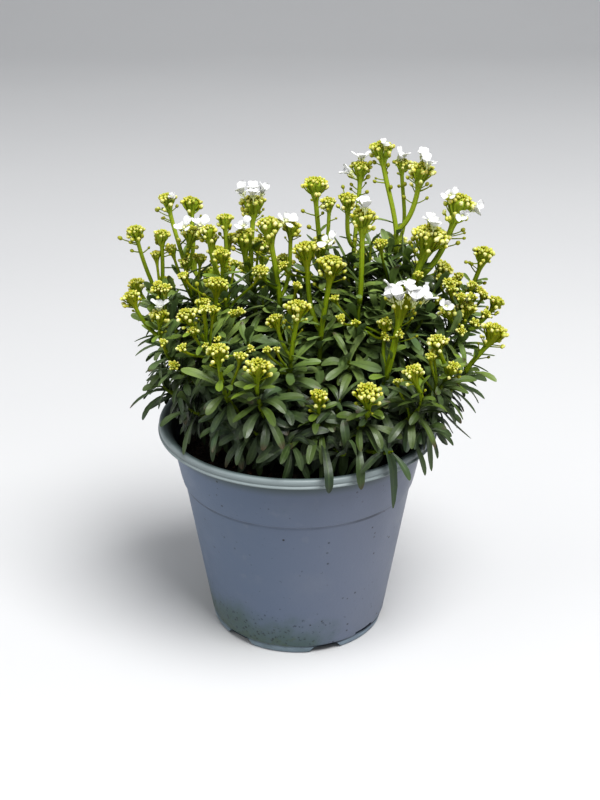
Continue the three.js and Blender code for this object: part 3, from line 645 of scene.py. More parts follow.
@dataclass
class Pot:
    """The round nursery pot: lip, flare, step, tapered wall, feet, arches, slits and holes."""

    height: float = 104.2
    rim_radius: float = 65.0
    rim_round: float = 1.2
    lip_drop: float = 4.0
    lip_thickness: float = 1.3
    lip_tuck: float = 0.6
    wall: float = 1.3
    wall_top_radius: float = 59.6
    mouth_flare: float = 2.4
    step_height: float = 75.6
    step_radius: float = 54.8
    step_depth: float = 1.0
    step_ease: float = 0.4
    foot_radius: float = 41.8
    foot_width: float = 3.0
    foot_chamfer: float = 0.8
    foot_ease: float = 0.15
    groove_height: float = 3.5
    groove_depth: float = 0.45
    floor: float = 1.4
    pad_radius: float = 27.0
    pad_slope: float = 3.0
    drain_rise: float = 3.2
    feet: int = 6
    first_arch: float = -72.0
    arch_width: float = 14.0
    arch_height: float = 3.4
    arch_ease: float = 5.0
    hole_radius: float = 2.6
    hole_ring: float = 34.0
    hole_depth: float = 8.0
    hole_sides: int = 28
    slit_width: float = 12.0
    slit_depth: float = 6.0
    slit_sunk: float = 2.0
    slit_floor: float = 3.4
    slit_height: float = 2.0
    sides: int = 240
    crease: float = 50.0
    weld: float = 1e-6

    def wall_radius(self, height: float) -> float:
        """Returns the outer radius of the wall at a height, above and below the step."""
        if height > self.step_height:
            share = (height - self.step_height) / (self.height - self.lip_drop - self.step_height)
            return self.step_radius + share * (self.wall_top_radius - self.step_radius)
        share = height / self.step_height
        return self.foot_radius + share * (self.step_radius - self.step_depth - self.foot_radius)

    def wall_line(self, inset: float, *heights: float) -> list[tuple[float, float]]:
        """Returns points of the section up the wall, an inset in from its outside."""
        return [(self.wall_radius(height) - inset, height) for height in heights]

    def profile(self) -> list[tuple[float, float]]:
        """Returns the section, as (radius, height), from the underside's middle to the floor's."""
        top, outer, wall = self.height, self.rim_radius, self.wall
        lip_foot = top - self.lip_drop
        flange = top - self.lip_thickness
        lip_in = outer - self.lip_thickness
        foot_in = self.foot_radius - self.foot_width
        over = self.step_height + self.step_ease
        under = self.step_height - self.step_ease
        drain_top = self.drain_rise + self.floor
        mouth = self.wall_top_radius + self.mouth_flare
        groove = self.wall_radius(self.groove_height) - self.groove_depth
        at_step = self.wall_radius(self.step_height)
        return [
            (0.0, 0.0),
            *stepped(self.pad_radius, 0.0, (-0.4, 0.0), (0.2, 0.2), (self.pad_slope, self.drain_rise)),
            *stepped(foot_in, self.drain_rise, (-1.2, 0.0), (-0.4, -0.3)),
            *stepped(foot_in, 0.0, (-0.1, 1.2), (0.0, 0.3), (0.5, 0.0)),
            *stepped(self.foot_radius, 0.0, (-self.foot_chamfer - 0.3, 0.0), (-0.35, 0.3)),
            *self.wall_line(self.foot_ease, 0.8, 1.2, 1.6, 2.0, 2.4, 2.9),
            *stepped(groove, self.groove_height, (0.0, -0.2), (0.0, 0.2)),
            *self.wall_line(0.0, 4.3, 5.0, 8.0, 20.0, 40.0, 60.0, 72.0),
            *stepped(at_step, under, (0.0, -0.5), (0.1, 0.0)),
            (self.step_radius - 0.25, self.step_height + 0.1),
            *stepped(self.step_radius, over, (-0.05, 0.0), (0.05, 0.5)),
            *self.wall_line(0.0, 78.0, 86.0, 93.0, 97.0),
            (self.wall_top_radius, lip_foot - self.lip_tuck),
            *stepped(self.wall_top_radius, flange, (0.5, -0.3), (1.0, 0.0)),
            *stepped(lip_in, flange, (-0.3, 0.0), (0.0, -0.3)),
            *stepped(lip_in, lip_foot, (0.0, 0.2), (0.3, 0.0)),
            *stepped(outer, lip_foot, (-0.4, 0.0), (-0.1, 0.15), (0.0, 0.45), (-0.1, 0.8)),
            *stepped(outer, lip_foot, (-0.55, 1.05), (-0.7, 1.35), (-0.5, 1.8)),
            *stepped(outer, top, (-0.45, -1.1), (-0.75, -0.4), (-self.rim_round, -0.05), (-1.7, 0.0)),
            *stepped(mouth, top, (0.3, 0.0), (-0.6, -0.4)),
            (self.wall_top_radius - 0.2, top - 2.2),
            (self.wall_top_radius - wall, lip_foot - self.lip_tuck),
            *self.wall_line(wall, 90.0),
            (self.step_radius - wall, over),
            (at_step - wall, under),
            *self.wall_line(wall, 30.0, drain_top),
            (self.pad_radius + self.pad_slope, drain_top),
            (self.pad_radius, self.floor),
            (0.0, self.floor),
        ]

    def arch(self, bearing: float) -> float:
        """Returns how high the foot stands off the ground at a bearing, in an arch or not."""
        period = 360.0 / self.feet
        off = abs((bearing - self.first_arch + period / 2) % period - period / 2)
        half = degrees(self.arch_width / 2 / self.foot_radius)
        share = min(1.0, max(0.0, (half + self.arch_ease / 2 - off) / self.arch_ease))
        return self.arch_height * share * share * (3 - 2 * share)

    def shell(self) -> Piece:
        """Returns the turned pot with the arches between its feet."""
        profile = self.profile()
        foot_from = self.foot_radius - self.foot_width - 0.3
        mesh = bmesh.new()
        rows = []
        for i, (radius, height) in enumerate(profile):
            in_arch = radius > foot_from and i < len(profile) / 2
            outside = radius > foot_from + 2.0
            row = []
            for turn in corners(self.sides) if radius else [0.0]:
                z = max(height, self.arch(degrees(turn))) if in_arch else height
                r = radius + (self.wall_radius(z) - self.wall_radius(height) if outside else 0.0)
                row.append(mesh.verts.new((r * cos(turn) * MM, r * sin(turn) * MM, z * MM)))
            rows.append(row)
        for low, high in zip(rows, rows[1:]):
            for j in range(self.sides):
                square = ((low, j), (low, j + 1), (high, j + 1), (high, j))
                mesh.faces.new(list(dict.fromkeys(row[k % len(row)] for row, k in square)))
        bmesh.ops.remove_doubles(mesh, verts=mesh.verts, dist=self.weld)
        bmesh.ops.recalc_face_normals(mesh, faces=mesh.faces)
        return settled("nursery_pot", mesh)

    def cutters(self) -> Piece:
        """Returns the shapes that are cut out of the pot: drain holes and slits over the feet."""
        mesh = bmesh.new()
        hole = {
            "cap_ends": True,
            "segments": self.hole_sides,
            "radius1": self.hole_radius * MM,
            "radius2": self.hole_radius * MM,
            "depth": self.hole_depth * MM,
        }
        middle = (self.foot_radius - self.slit_sunk, 0.0, self.slit_floor + self.slit_height / 2)
        size = Vector((self.slit_depth, self.slit_width, self.slit_height)) * MM
        slit = Matrix.Translation(Vector(middle) * MM) @ Matrix.Diagonal((*size, 1.0))
        for i in range(self.feet):
            bearing = radians(self.first_arch + i * 360.0 / self.feet)
            centre = Vector((cos(bearing), sin(bearing), 0.0)) * self.hole_ring * MM
            centre.z = self.drain_rise * MM
            bmesh.ops.create_cone(mesh, matrix=Matrix.Translation(centre), **hole)
            if i % 2 == 0:
                turn = Matrix.Rotation(bearing + pi / self.feet, 4, "Z")
                bmesh.ops.create_cube(mesh, size=1.0, matrix=turn @ slit)
        return settled("pot_cutters", mesh)

    def build(self) -> Piece:
        """Returns the finished pot."""
        pot = self.shell()
        cutters = self.cutters()
        cut = pot.modifiers.new("drains", "BOOLEAN")
        cut.operation = "DIFFERENCE"
        cut.solver = "EXACT"
        cut.object = cutters
        bpy.context.view_layer.update()
        graph = bpy.context.evaluated_depsgraph_get()
        data = bpy.data.meshes.new_from_object(pot.evaluated_get(graph))
        pot.modifiers.clear()
        pot.data = data
        bpy.data.objects.remove(cutters)
        data.materials.clear()
        data.materials.append(PotPlastic().material())
        data.polygons.foreach_set("material_index", [0] * len(data.polygons))
        smooth(data, self.crease)
        return seat(pot, Slot.POT, "pot")


# The soil


@dataclass
class Soil:
    """The compost in the pot, with a crumbly top that mounds a little round the plant."""

    pot: Pot
    gap: float = 0.3
    edge_height: float = 92.0
    mound: float = 3.0
    top_radius: float = 56.0
    lump_height: float = 1.4
    lumps_across: float = 0.29
    lumps_along: float = 0.34
    lump_skew: float = 0.12
    lump_start: float = 1.1
    edge_calm: float = 3.0
    rough_height: float = 0.45
    rough_from: float = 6.0
    middle: float = 0.5
    rings: int = 34
    sides: int = 120
    crumbs: int = 800
    crumb_reach: float = 54.5
    crumb_length: float = 1.8
    crumb_rise: float = 0.35
    splinters: float = 0.2
    seed: int = 4242

    # Along a crumb: share of its length and of its width.
    crumb_outline = ((0.0, 0.4), (0.3, 1.0), (0.7, 0.9), (1.0, 0.35))

    def height(self, x: float, y: float) -> float:
        """Returns the height of the soil's top at a place."""
        inward = 1 - min(1.0, hypot(x, y) / self.top_radius)
        across = sin(self.lumps_across * x + self.lump_start)
        along = cos(self.lumps_along * y - self.lump_skew * x)
        lumps = self.lump_height * (across + along) * min(1.0, self.edge_calm * inward)
        return self.edge_height + self.mound * inward + lumps

    def inside(self, height: float) -> float:
        """Returns the soil's radius at a height in the pot."""
        return self.pot.wall_radius(height) - self.pot.wall - 2 * self.gap

    def outline(self) -> list[tuple[float, float]]:
        """Returns the section under the top, as (radius, height), from its middle to its edge."""
        pot = self.pot
        low = pot.floor + self.gap
        drain_top = pot.drain_rise + pot.floor + self.gap
        over = pot.step_height + pot.step_ease + 2 * self.gap
        return [
            (self.middle, low),
            (pot.pad_radius - self.gap, low),
            (pot.pad_radius + pot.pad_slope - self.gap, drain_top),
            (self.inside(drain_top), drain_top),
            (self.inside(pot.step_height), pot.step_height - pot.step_ease),
            (pot.step_radius - pot.wall - self.gap, over),
            (self.inside(self.edge_height), self.edge_height),
        ]

    def top_ring(self, radius: float) -> list[tuple[float, float, float]]:
        """Returns the points of one ring of the rough top."""
        points = []
        calm = min(1.0, (self.top_radius - radius) / self.rough_from)
        for turn in corners(self.sides):
            x, y = radius * cos(turn), radius * sin(turn)
            rough = self.rough_height * sin(1.7 * x + 2.1 * y) * cos(2.3 * x - 1.3 * y)
            points.append((x, y, self.height(x, y) + rough * calm))
        return points

    def build(self) -> Piece:
        """Returns the soil with its loose crumbs."""
        draft = Draft(Draws(self.seed))
        across = np.eye(3)[:2]
        rings = [ring(UP * z, across, [radius] * self.sides) for radius, z in self.outline()]
        edge = self.inside(self.edge_height)
        for i in range(1, self.rings + 1):
            rings.append(self.top_ring(max(self.middle, edge * (1 - i / self.rings))))
        draft.loft([(points, (0.0, 0.0, 0.0, 0.0)) for points in rings])
        for _ in range(self.crumbs):
            self._crumb(draft)
        return seat(draft.piece("compost", [Compost().material()]), Slot.SOIL, "soil")

    def _crumb(self, draft: Draft) -> None:
        """Adds one loose crumb or thin splinter, half sunk in the soil's top, to the soil's mesh."""
        draws = draft.draws
        radius = self.crumb_reach * sqrt(draws())
        turn = 2 * pi * draws()
        x, y = radius * cos(turn), radius * sin(turn)
        size = draws(0.4, 1.5)
        splinter = draws() > 1 - self.splinters
        long = draws(1.0, 3.2) if splinter else 1.0
        wide, thick = (0.4, 0.4) if splinter else (1.0, 0.8)
        first, second, up = np.eye(3)
        heading = draws(0.0, pi)
        along, across = turned(first, second, heading), turned(second, -first, heading)
        place = np.array((x, y, self.height(x, y) + self.crumb_rise * size))
        rings = []
        for share, width in self.crumb_outline:
            centre = place + along * ((share - 0.5) * self.crumb_length * size * long)
            sizes = [draws(0.75, 1.25) * width * size for _ in range(5)]
            rings.append(ring(centre, (across * wide, up * thick), sizes))
        tone = (draws() ** 3, 0.0, 0.0, 0.0)
        draft.loft([(points, tone) for points in rings])


# The plant's plan


@dataclass(frozen=True)
class Head:
    """A head of buds: its place, its radius and how many open flowers stand on it."""

    at: Place
    size: float
    flowers: int = 0


@dataclass(frozen=True)
class Shoot:
    """A leafy shoot: its tip, the heads over it and the tips of leaves that hang over the rim."""

    tip: Place
    heads: tuple[Head, ...]
    hanging: tuple[Place, ...] = ()


@dataclass(frozen=True)
class Stem:
    """A stem that stands in the soil and forks into one or two shoots."""

    name: str
    shoots: tuple[Shoot, ...]
    tufts: tuple[Place, ...] = ()


STEMS = (
    Stem("front_mid", (
        Shoot((29, -53, 129), (Head((28.5, -56, 141), 6.2),), ((26.6, -64, 100), (41, -57, 87))),
        Shoot((9, -45, 123), (Head((8.5, -48, 136), 4.2),), ((13, -68, 100.5),)),
    ), ((20, -58, 114), (40, -56, 114), (18, -38, 130))),
    Stem("front_left_mid", (
        Shoot((-17, -50, 138), (Head((-16.5, -52, 151), 5.4),)),
        Shoot((-3, -30, 144), (Head((0, -28, 168), 5.5), Head((-9.5, -26, 162), 3.6))),
    ), ((-19, -45, 118), (-3, -51, 115), (-14, -22, 138))),
    Stem("front_left", (
        Shoot((-32, -44, 140), (Head((-33.5, -44, 155), 4.6),)),
        Shoot((-40, -24, 150), (Head((-48, -26, 164), 4.3), Head((-41, -20, 167), 3.9))),
    ), ((-48, -30, 122), (-34, -40, 119))),
    Stem("front_right", (
        Shoot((52, -46, 131), (Head((48, -48, 147), 4.6),)),
        Shoot((63, -34, 136), (Head((59, -36, 156), 4.4), Head((66, -39, 145), 3.5)),
            ((59, -38, 95), (66.5, -30, 104))),
    ), ((56, -44, 118), (64, -28, 121), (46, -30, 128))),
    Stem("mid_right", (
        Shoot((38, -30, 136), (Head((45, -22, 172), 9, 3), Head((37.5, -25, 160), 3.4))),
        Shoot((27, -10, 163), (Head((28, -2, 200), 6.4, 2),)),
    )),
    Stem("mid", (
        Shoot((10, -15, 148), (Head((14.5, -12, 182), 6.4), Head((3.5, -4, 186), 6))),
    )),
    Stem("left_mid", (
        Shoot((-36, -14, 152), (Head((-35, -15, 174), 5),)),
        Shoot((-33, -2, 166), (Head((-33, -5, 184), 4), Head((-32, 5, 197), 4), Head((-39.5, 1, 193), 4.4))),
    ), ((-44, 2, 140),)),
    Stem("left", (
        Shoot((-60, -16, 148), (Head((-60, -18, 161), 4, 1), Head((-72.5, -14, 168), 4))),
        Shoot((-61, 2, 158), (
            Head((-61.5, -5, 169), 3.7), Head((-71.5, 4, 192), 4.2), Head((-60, 4, 190), 4),
        )),
    ), ((-62, -2, 130), (-60, -20, 128), (-52, -18, 136))),
    Stem("right_low", (
        Shoot((74, -19, 134), (Head((86, -18, 153), 6),), ((79.5, -12, 98),)),
    ), ((70, -8, 124),)),
    Stem("right", (
        Shoot((72, -6, 145), (
            Head((75, -6, 160), 4.4, 1), Head((88.5, -2, 161), 4), Head((65.5, -10, 160), 4),
        )),
        Shoot((76, 8, 157), (Head((83, 8, 180), 5.4), Head((69, 3, 168), 4))),
    ), ((71, 14, 132),)),
    Stem("right_high", (
        Shoot((51, -1, 168), (Head((58, 2, 190), 8.6, 2), Head((71, 8, 203), 7.5))),
    )),
    Stem("mid_left", (
        Shoot((-8, -3, 159), (
            Head((-12.5, 2, 195), 6.4), Head((-3, 7, 193), 4.2), Head((-17, -6, 177), 3.8),
        )),
    )),
    Stem("back_right", (
        Shoot((44, 15, 177), (
            Head((37, 22, 224), 5.8), Head((46, 20, 218), 3.8), Head((54.5, 15, 216), 6.2, 2),
        )),
    )),
    Stem("back_mid", (
        Shoot((25, 17, 176), (Head((28, 24, 215), 5, 1), Head((22, 15, 203), 4.8))),
        Shoot((10, 16, 172), (Head((7.5, 18, 209), 5.8), Head((14, 10, 203), 3.6))),
    ), ((30, 28, 146),)),
    Stem("back_left_mid", (
        Shoot((-21, 10, 166), (Head((-20, 16, 201), 6, 2), Head((-24, 8, 188), 6))),
    )),
    Stem("back_left", (
        Shoot((-50, 11, 168), (
            Head((-58, 16, 203), 4.5), Head((-48, 20, 200), 4.9), Head((-47.5, 8, 190), 5),
        )),
    ), ((-30, 26, 146),)),
    Stem("rear_left", (
        Shoot((-66, 20, 144), (Head((-75, 22, 161), 4), Head((-62, 28, 160), 4.2))),
        Shoot((-44, 37, 148), (Head((-51, 42, 166), 5), Head((-38, 36, 172), 4.6), Head((-43, 51, 157), 4))),
    ), ((-47, 42, 127), (-60, 22, 130))),
    Stem("rear_left_mid", (
        Shoot((-16, 42, 150), (Head((-18, 40, 174), 6), Head((-7, 51, 162), 5), Head((-26, 54, 158), 4.2))),
    ), ((-4, 54, 124), (-28, 51, 124))),
    Stem("rear_right_mid", (
        Shoot((17, 43, 148), (Head((12, 38, 176), 5.6), Head((20, 55, 158), 5), Head((31, 47, 166), 4.6))),
    ), ((22, 54, 124),)),
    Stem("rear_right", (
        Shoot((50, 36, 150), (Head((45, 34, 177), 5.6), Head((57, 45, 161), 5), Head((68, 30, 166), 4.8))),
    ), ((60, 32, 128), (44, 46, 126))),
)

# Tips of more short shoots without flowers, inside the bush.
INNER_TUFTS = (
    (-24, -32, 132), (8, -2, 142), (0, 22, 150), (60, 10, 142), (0, 4, 158), (20, -4, 156), (36, 4, 162),
    (-28, 12, 157), (-44, -8, 150), (42, -14, 150), (22, -26, 144), (-4, -14, 150), (-22, -14, 148),
    (60, 6, 152), (32, 32, 156), (4, 30, 156), (-16, 26, 157), (-40, 22, 154), (54, 22, 157), (64, -16, 138),
    (-56, 10, 150), (36, -40, 130), (-8, -40, 130), (-30, -28, 140), (30, 12, 171), (39, 16, 172),
    (47, 10, 171), (21, 14, 168), (54, 12, 170), (-63, 4, 155), (-55, 8, 158), (-42, 8, 159), (-28, 8, 159),
    (-16, 6, 160), (1, 10, 162), (10, 16, 165), (64, 12, 162), (73, 6, 154), (44, 2, 165), (56, -6, 156),
    (62, 6, 157), (50, -12, 158), (70, 0, 150), (36, -8, 158), (26, -16, 150), (12, -8, 154), (-10, 14, 162),
    (66, -10, 148), (33, 14, 184), (41, 12, 180), (48, 8, 178), (23, 12, 177), (16, 12, 172), (55, 4, 172),
    (62, 2, 167), (28, 0, 172), (42, -4, 170), (50, -8, 166),
)

# Small heads on thin side stalks: the place and then the radius of each.
SMALL_HEADS = (
    (-24, -46, 153, 2.9), (-49, -36, 153, 2.5), (56, -40, 150.5, 2.5), (18.5, -26, 162, 2.6),
    (-27.5, -24, 164, 2.1), (-53.5, -30, 142, 2.6), (81, 2, 165, 2.7), (24.5, -27, 161, 1.9),
    (37, -27, 154.5, 2.4), (43.5, -31, 157, 1.8), (-16, -9, 177.5, 3.2), (-0.5, -18, 174.5, 2.6),
    (-57, -18, 173, 2.9), (36, -4, 188.5, 3.4), (-6.5, -5, 179, 2.4), (67, -9, 170, 2.7), (76, -9, 166, 2.4),
    (63, 4, 170, 2.6), (-34, -34, 156, 1.9), (-20, -37, 153, 2.0), (-12, -43, 147, 1.9), (42, -42, 140, 1.9),
    (-58, -28, 152, 2.2), (-40, -30, 168, 2.6), (72, 4, 171, 2.6), (-50, -10, 176, 2.6), (52, -14, 178, 2.2),
    (-63, 4, 181, 3.0), (-56, 6, 183, 3.2), (-50.8, 6, 177, 2.6), (-43.8, 8, 178, 3.0),
    (-38.3, 10, 187, 3.4), (-30.5, 12, 186.5, 3.0), (-28.5, 4, 177, 2.6), (-18, 12, 184, 2.8),
    (-6.7, 10, 177.5, 3.0), (2, 8, 177.5, 2.8), (9, 10, 182, 3.2), (16, -14, 167, 2.4), (65.8, -8, 172, 3.0),
    (71.5, -10, 166, 2.6), (77, -2, 169, 2.6), (83, 0, 163.5, 2.6), (83, -8, 157.5, 2.6),
    (78, -11, 154.5, 2.4), (72, -15, 152, 2.6), (62, -8, 164, 2.4), (58, -35, 151, 2.2),
    (-36.5, -25, 166, 3.0), (-45, -28, 157.5, 2.8), (-39, -36, 154, 1.8), (-24.5, -27, 166, 1.9),
    (-13, -41, 154, 1.9), (-9, -39, 153.5, 1.6), (50.5, -39, 145.5, 1.8),
)

# Single buds on thin side stalks.
STRAY_BUDS = (
    (2.2, 14, 198.1), (19.9, 16, 208.5), (30.5, 14, 206.8), (31.9, 20, 218.2), (23.1, 20, 212.4),
    (72.3, 2, 193.1), (70.1, 0, 187.8), (56.9, 12, 204.6), (56.7, 12, 210.9), (39.9, 20, 217.3),
    (41.3, 18, 207.9), (46.9, 14, 204.5), (42.3, 18, 219.2), (47.3, 16, 209.8), (74.1, 0, 179.0),
    (-43.2, -20, 175.9), (-39.8, -18, 176.6), (-78.1, 2, 189.4), (-53.7, 14, 200.4), (-62.7, 14, 198.6),
    (-68.7, 4, 189.7), (49.3, -24, 165.1), (-13.1, 0, 187.3), (4.9, 12, 191.4),
)


# Room between things


# Owners of balls beside the shoots and tufts, which own theirs by their numbers.
LEAF = -1
SPRAY = -2


@dataclass
class Room:
    """What is already taken in and round the plant, as balls that each have an owner."""

    pot: Pot
    soil: Soil
    soil_room: float = 0.5
    rim_room: float = 1.0
    margin: float = 0.2
    owners: list[int] = field(default_factory=list)
    balls: list[np.ndarray] = field(default_factory=list)
    _packed: tuple[np.ndarray, np.ndarray] | None = None

    def take(self, owner: int, balls: np.ndarray) -> None:
        """Marks balls, as x, y, z and radius, as taken by an owner."""
        self.owners.extend([owner] * len(balls))
        self.balls.append(balls)
        self._packed = None

    def rod(self, curve: Bend, radius: float) -> np.ndarray:
        """Returns the balls that a rod fills from one end to the other."""
        count = ceil(curve.length() / (2 * radius))
        points = np.array(curve.points(count))
        return np.column_stack((points, np.full(len(points), radius + self.margin)))

    def clears_pot(self, ball: np.ndarray) -> bool:
        """Tells whether a ball stays off the pot's rim and wall and off the soil."""
        x, y, z, radius = ball
        pot, reach = self.pot, hypot(x, y)
        rim = (pot.wall_top_radius + pot.rim_radius) / 2
        from_rim = hypot(reach - rim, z - (pot.height - pot.lip_drop / 2))
        if from_rim < radius + (pot.rim_radius - pot.wall_top_radius) / 2 + self.rim_room:
            return False
        if z > pot.height + radius:
            return True
        if reach > rim:
            return reach > pot.wall_top_radius + radius + self.rim_room
        over = z - self.soil.height(x, y) - radius
        inside = pot.wall_radius(z) - pot.wall - radius - self.soil.gap
        return over > self.soil_room and reach < inside

    def is_clear(self, bearers: tuple[int, ...], balls: np.ndarray, gap: float | None = None) -> bool:
        """Tells whether all the balls are free.

        Args:
            bearers: The numbers of the shoots that they may touch.
            balls: The balls, as x, y, z and radius.
            gap: The least room between balls.

        Returns:
            True where they are.
        """
        if not all(self.clears_pot(ball) for ball in balls):
            return False
        if self._packed is None:
            self._packed = (np.concatenate(self.balls), np.array(self.owners))
        taken, owners = self._packed
        taken = taken[~np.isin(owners, bearers)]
        apart = np.linalg.norm(balls[:, None, :3] - taken[None, :, :3], axis=2)
        least = balls[:, None, 3] + taken[None, :, 3] + (self.soil.gap if gap is None else gap)
        return bool((apart > least).all())


# Leaves


@dataclass(frozen=True)
class Leaf:
    """A leaf through its root, its widest place and its tip."""

    root: Point
    belly: Point
    tip: Point
    side: Point
    youth: float = 0.0
    width: float = 1.0

    half_width = 2.1
    belly_share = 0.64
    thickness = 1.1
    tip_width = 0.5
    sink = 0.7
    balls_from = 0.24

    # Share of the length, share of the half width and share of the thickness, root to tip.
    outline = (
        (0.00, 0.32, 0.9), (0.17, 0.46, 0.9), (0.35, 0.70, 0.9), (0.54, 0.93, 0.88),
        (0.71, 1.02, 0.8), (0.86, 0.88, 0.65), (0.96, 0.52, 0.45), (1.00, 0.16, 0.25),
    )
    # Across a leaf: share of the half width, height of the face and how near the midrib.
    section = (
        (1.0, 0.20, 1.0), (0.5, 0.06, 0.5), (0.0, -0.12, 0.0), (-0.5, 0.06, 0.5),
        (-1.0, 0.20, 1.0), (0.0, -1.0, 0.0),
    )

    def balls(self, count: int = 7) -> np.ndarray:
        """Returns the balls that the leaf fills, from a little way off its root to its tip."""
        sunk = self.root - unit(self.belly - self.root) * self.sink
        balls = []
        for i in range(count):
            share = self.balls_from + (1 - self.balls_from) * i / (count - 1)
            if share > self.belly_share:
                part = (share - self.belly_share) / (1 - self.belly_share)
                centre = self.belly + (self.tip - self.belly) * part
                width = 1 + (self.tip_width - 1) * part
            else:
                part = share / self.belly_share
                centre = sunk + (self.belly - sunk) * part
                width = part
            balls.append((*centre, width * self.half_width))
        return np.array(balls)

    def spine(self, share: float) -> tuple[Point, Point]:
        """Returns the place and the direction at a share of a smooth line through the leaf."""
        b = self.belly_share
        a0 = (share - b) * (share - 1) / b
        a1 = share * (share - 1) / (b * (b - 1))
        a2 = share * (share - b) / (1 - b)
        d0 = (2 * share - b - 1) / b
        d1 = (2 * share - 1) / (b * (b - 1))
        d2 = (2 * share - b) / (1 - b)
        place = a0 * self.root + a1 * self.belly + a2 * self.tip
        return place, unit(d0 * self.root + d1 * self.belly + d2 * self.tip)

    def grow(self, draft: Draft, tint: float, roll: float) -> None:
        """Adds the leaf to a mesh.

        Args:
            draft: The mesh.
            tint: How light its green is, 0 to 1.
            roll: How far it turns about its own length, in degrees.
        """
        rows = []
        for share, wide, thick in self.outline:
            place, forward = self.spine(share)
            side = turned(self.side, np.cross(self.side, forward), radians(roll * share))
            down = unit(np.cross(side, forward))
            half = wide * self.half_width * self.width
            points = []
            for across, face, _ in self.section:
                lift = face * (half * 0.5 if face > -0.5 else thick * self.thickness * 0.5)
                points.append(place + side * (across * half) - down * lift)
            rows.append((points, [(tint, share, rib, self.youth) for _, _, rib in self.section]))
        draft.loft(rows)


@dataclass
class LeafRule:
    """How the leaves of a shoot are placed and bent clear."""

    per_shoot: int = 8
    lowest_on_shoot: float = 0.44
    per_tuft: int = 5
    lowest_on_tuft: float = 0.5
    highest: float = 0.96
    length: float = 20.0
    spread: float = 6.0
    low_pitch: float = 108.0
    high_pitch: float = 46.0
    curl: float = 24.0
    sag: float = 1.1
    sag_from: float = 150.0
    sag_depth: float = 45.0
    hang_place: float = 0.8
    hang_out: float = 3.2
    hang_rise: float = 5.0
    swings: tuple[float, ...] = (0, 16, -16, 32, -32, 48, -48)
    lifts: tuple[float, ...] = (0, 14, -14)
    shorter: float = 0.8

    def leaf(
        self, root: Point, axis: Point, swing: float, pitch: float, length: float, **more: float
    ) -> Leaf:
        """One leaf from a shoot.

        Args:
            root: Where it grows from.
            axis: The shoot's direction there.
            swing: Its bearing round the shoot, in degrees.
            pitch: Its angle from the shoot at its root, in degrees.
            length: Its length.
            **more: Its youth and its share of the full width, and its own curl.

        Returns:
            The leaf.
        """
        curl = more.pop("curl", self.curl)
        bow = more.pop("bow", 0.0)
        outward = about(axis, swing)
        low = min(1.0, max(0.0, (self.sag_from - root[2]) / self.sag_depth))
        sag = self.sag * low + more.pop("droop", 0.0)

        def heading(share: float) -> Point:
            """Returns the leaf's direction at a share of its length."""
            angle = radians(pitch + curl * share)
            return unit(axis * cos(angle) + outward * sin(angle) - UP * sag * share)

        b = Leaf.belly_share
        belly = root + heading(b / 2) * b * length
        tip = belly + heading((1 + b) / 2) * (1 - b) * length
        side = self.side(np.cross(axis, outward), root, tip)
        return Leaf(root, belly + side * bow, tip, side, **more)

    def side(self, across: Point, root: Point, tip: Point) -> Point:
        """Returns the direction over a leaf's blade, square to the line from its root to its tip."""
        along = unit(tip - root)
        return unit(across - along * np.dot(across, along))

    def hanging(self, curve: Bend, tip: Point, pot: Pot) -> Leaf:
        """Returns a leaf from high on a shoot, out over the pot's rim and down to its tip."""
        outward = unit(np.array((tip[0], tip[1], 0.0)))
        belly = outward * (pot.rim_radius + self.hang_out) + UP * (pot.height + self.hang_rise)
        root = curve.point(self.hang_place)
        return Leaf(root, belly, tip, self.side(np.cross(UP, outward), root, tip))

    def clear(self, room: "Room", owner: int, axis: Point, **leaf: float) -> Leaf | None:
        """A leaf bent clear of everything but its own shoot.

        Args:
            room: What is taken.
            owner: The shoot's number.
            axis: The shoot's direction at the leaf.
            **leaf: The root, swing, pitch and length that it would best have.

        Returns:
            The leaf, or None where no way is free.
        """
        for length in (leaf["length"], self.shorter * leaf["length"]):
            for lift in self.lifts:
                for swing in self.swings:
                    aside, raised = leaf["swing"] + swing, leaf["pitch"] + lift
                    tried = self.leaf(leaf["root"], axis, aside, raised, length)
                    balls = tried.balls()
                    if room.is_clear((owner,), balls):
                        room.take(LEAF, balls)
                        return tried
        return None


# The grown plan


@dataclass
class Stalk:
    """A flower stalk with its head."""

    path: Bend
    size: float
    flowers: int
    radius: float
    bearings: list[float] = field(default_factory=list)


@dataclass
class GrownShoot:
    """A shoot laid out in space with its stalks and leaves."""

    number: int
    spray: str
    curve: Bend
    stalks: list[Stalk]
    over: list[Point]
    leaves: list[tuple[Leaf, float]] = field(default_factory=list)


@dataclass
class Tuft:
    """A short leafy side shoot without flowers."""

    number: int
    curve: Bend
    leaves: list[tuple[Leaf, float]] = field(default_factory=list)


@dataclass
class GrownStem:
    """A stem laid out in space."""

    name: str
    shoots: list[GrownShoot]
    draws: Draws
    tufts: list[Tuft] = field(default_factory=list)


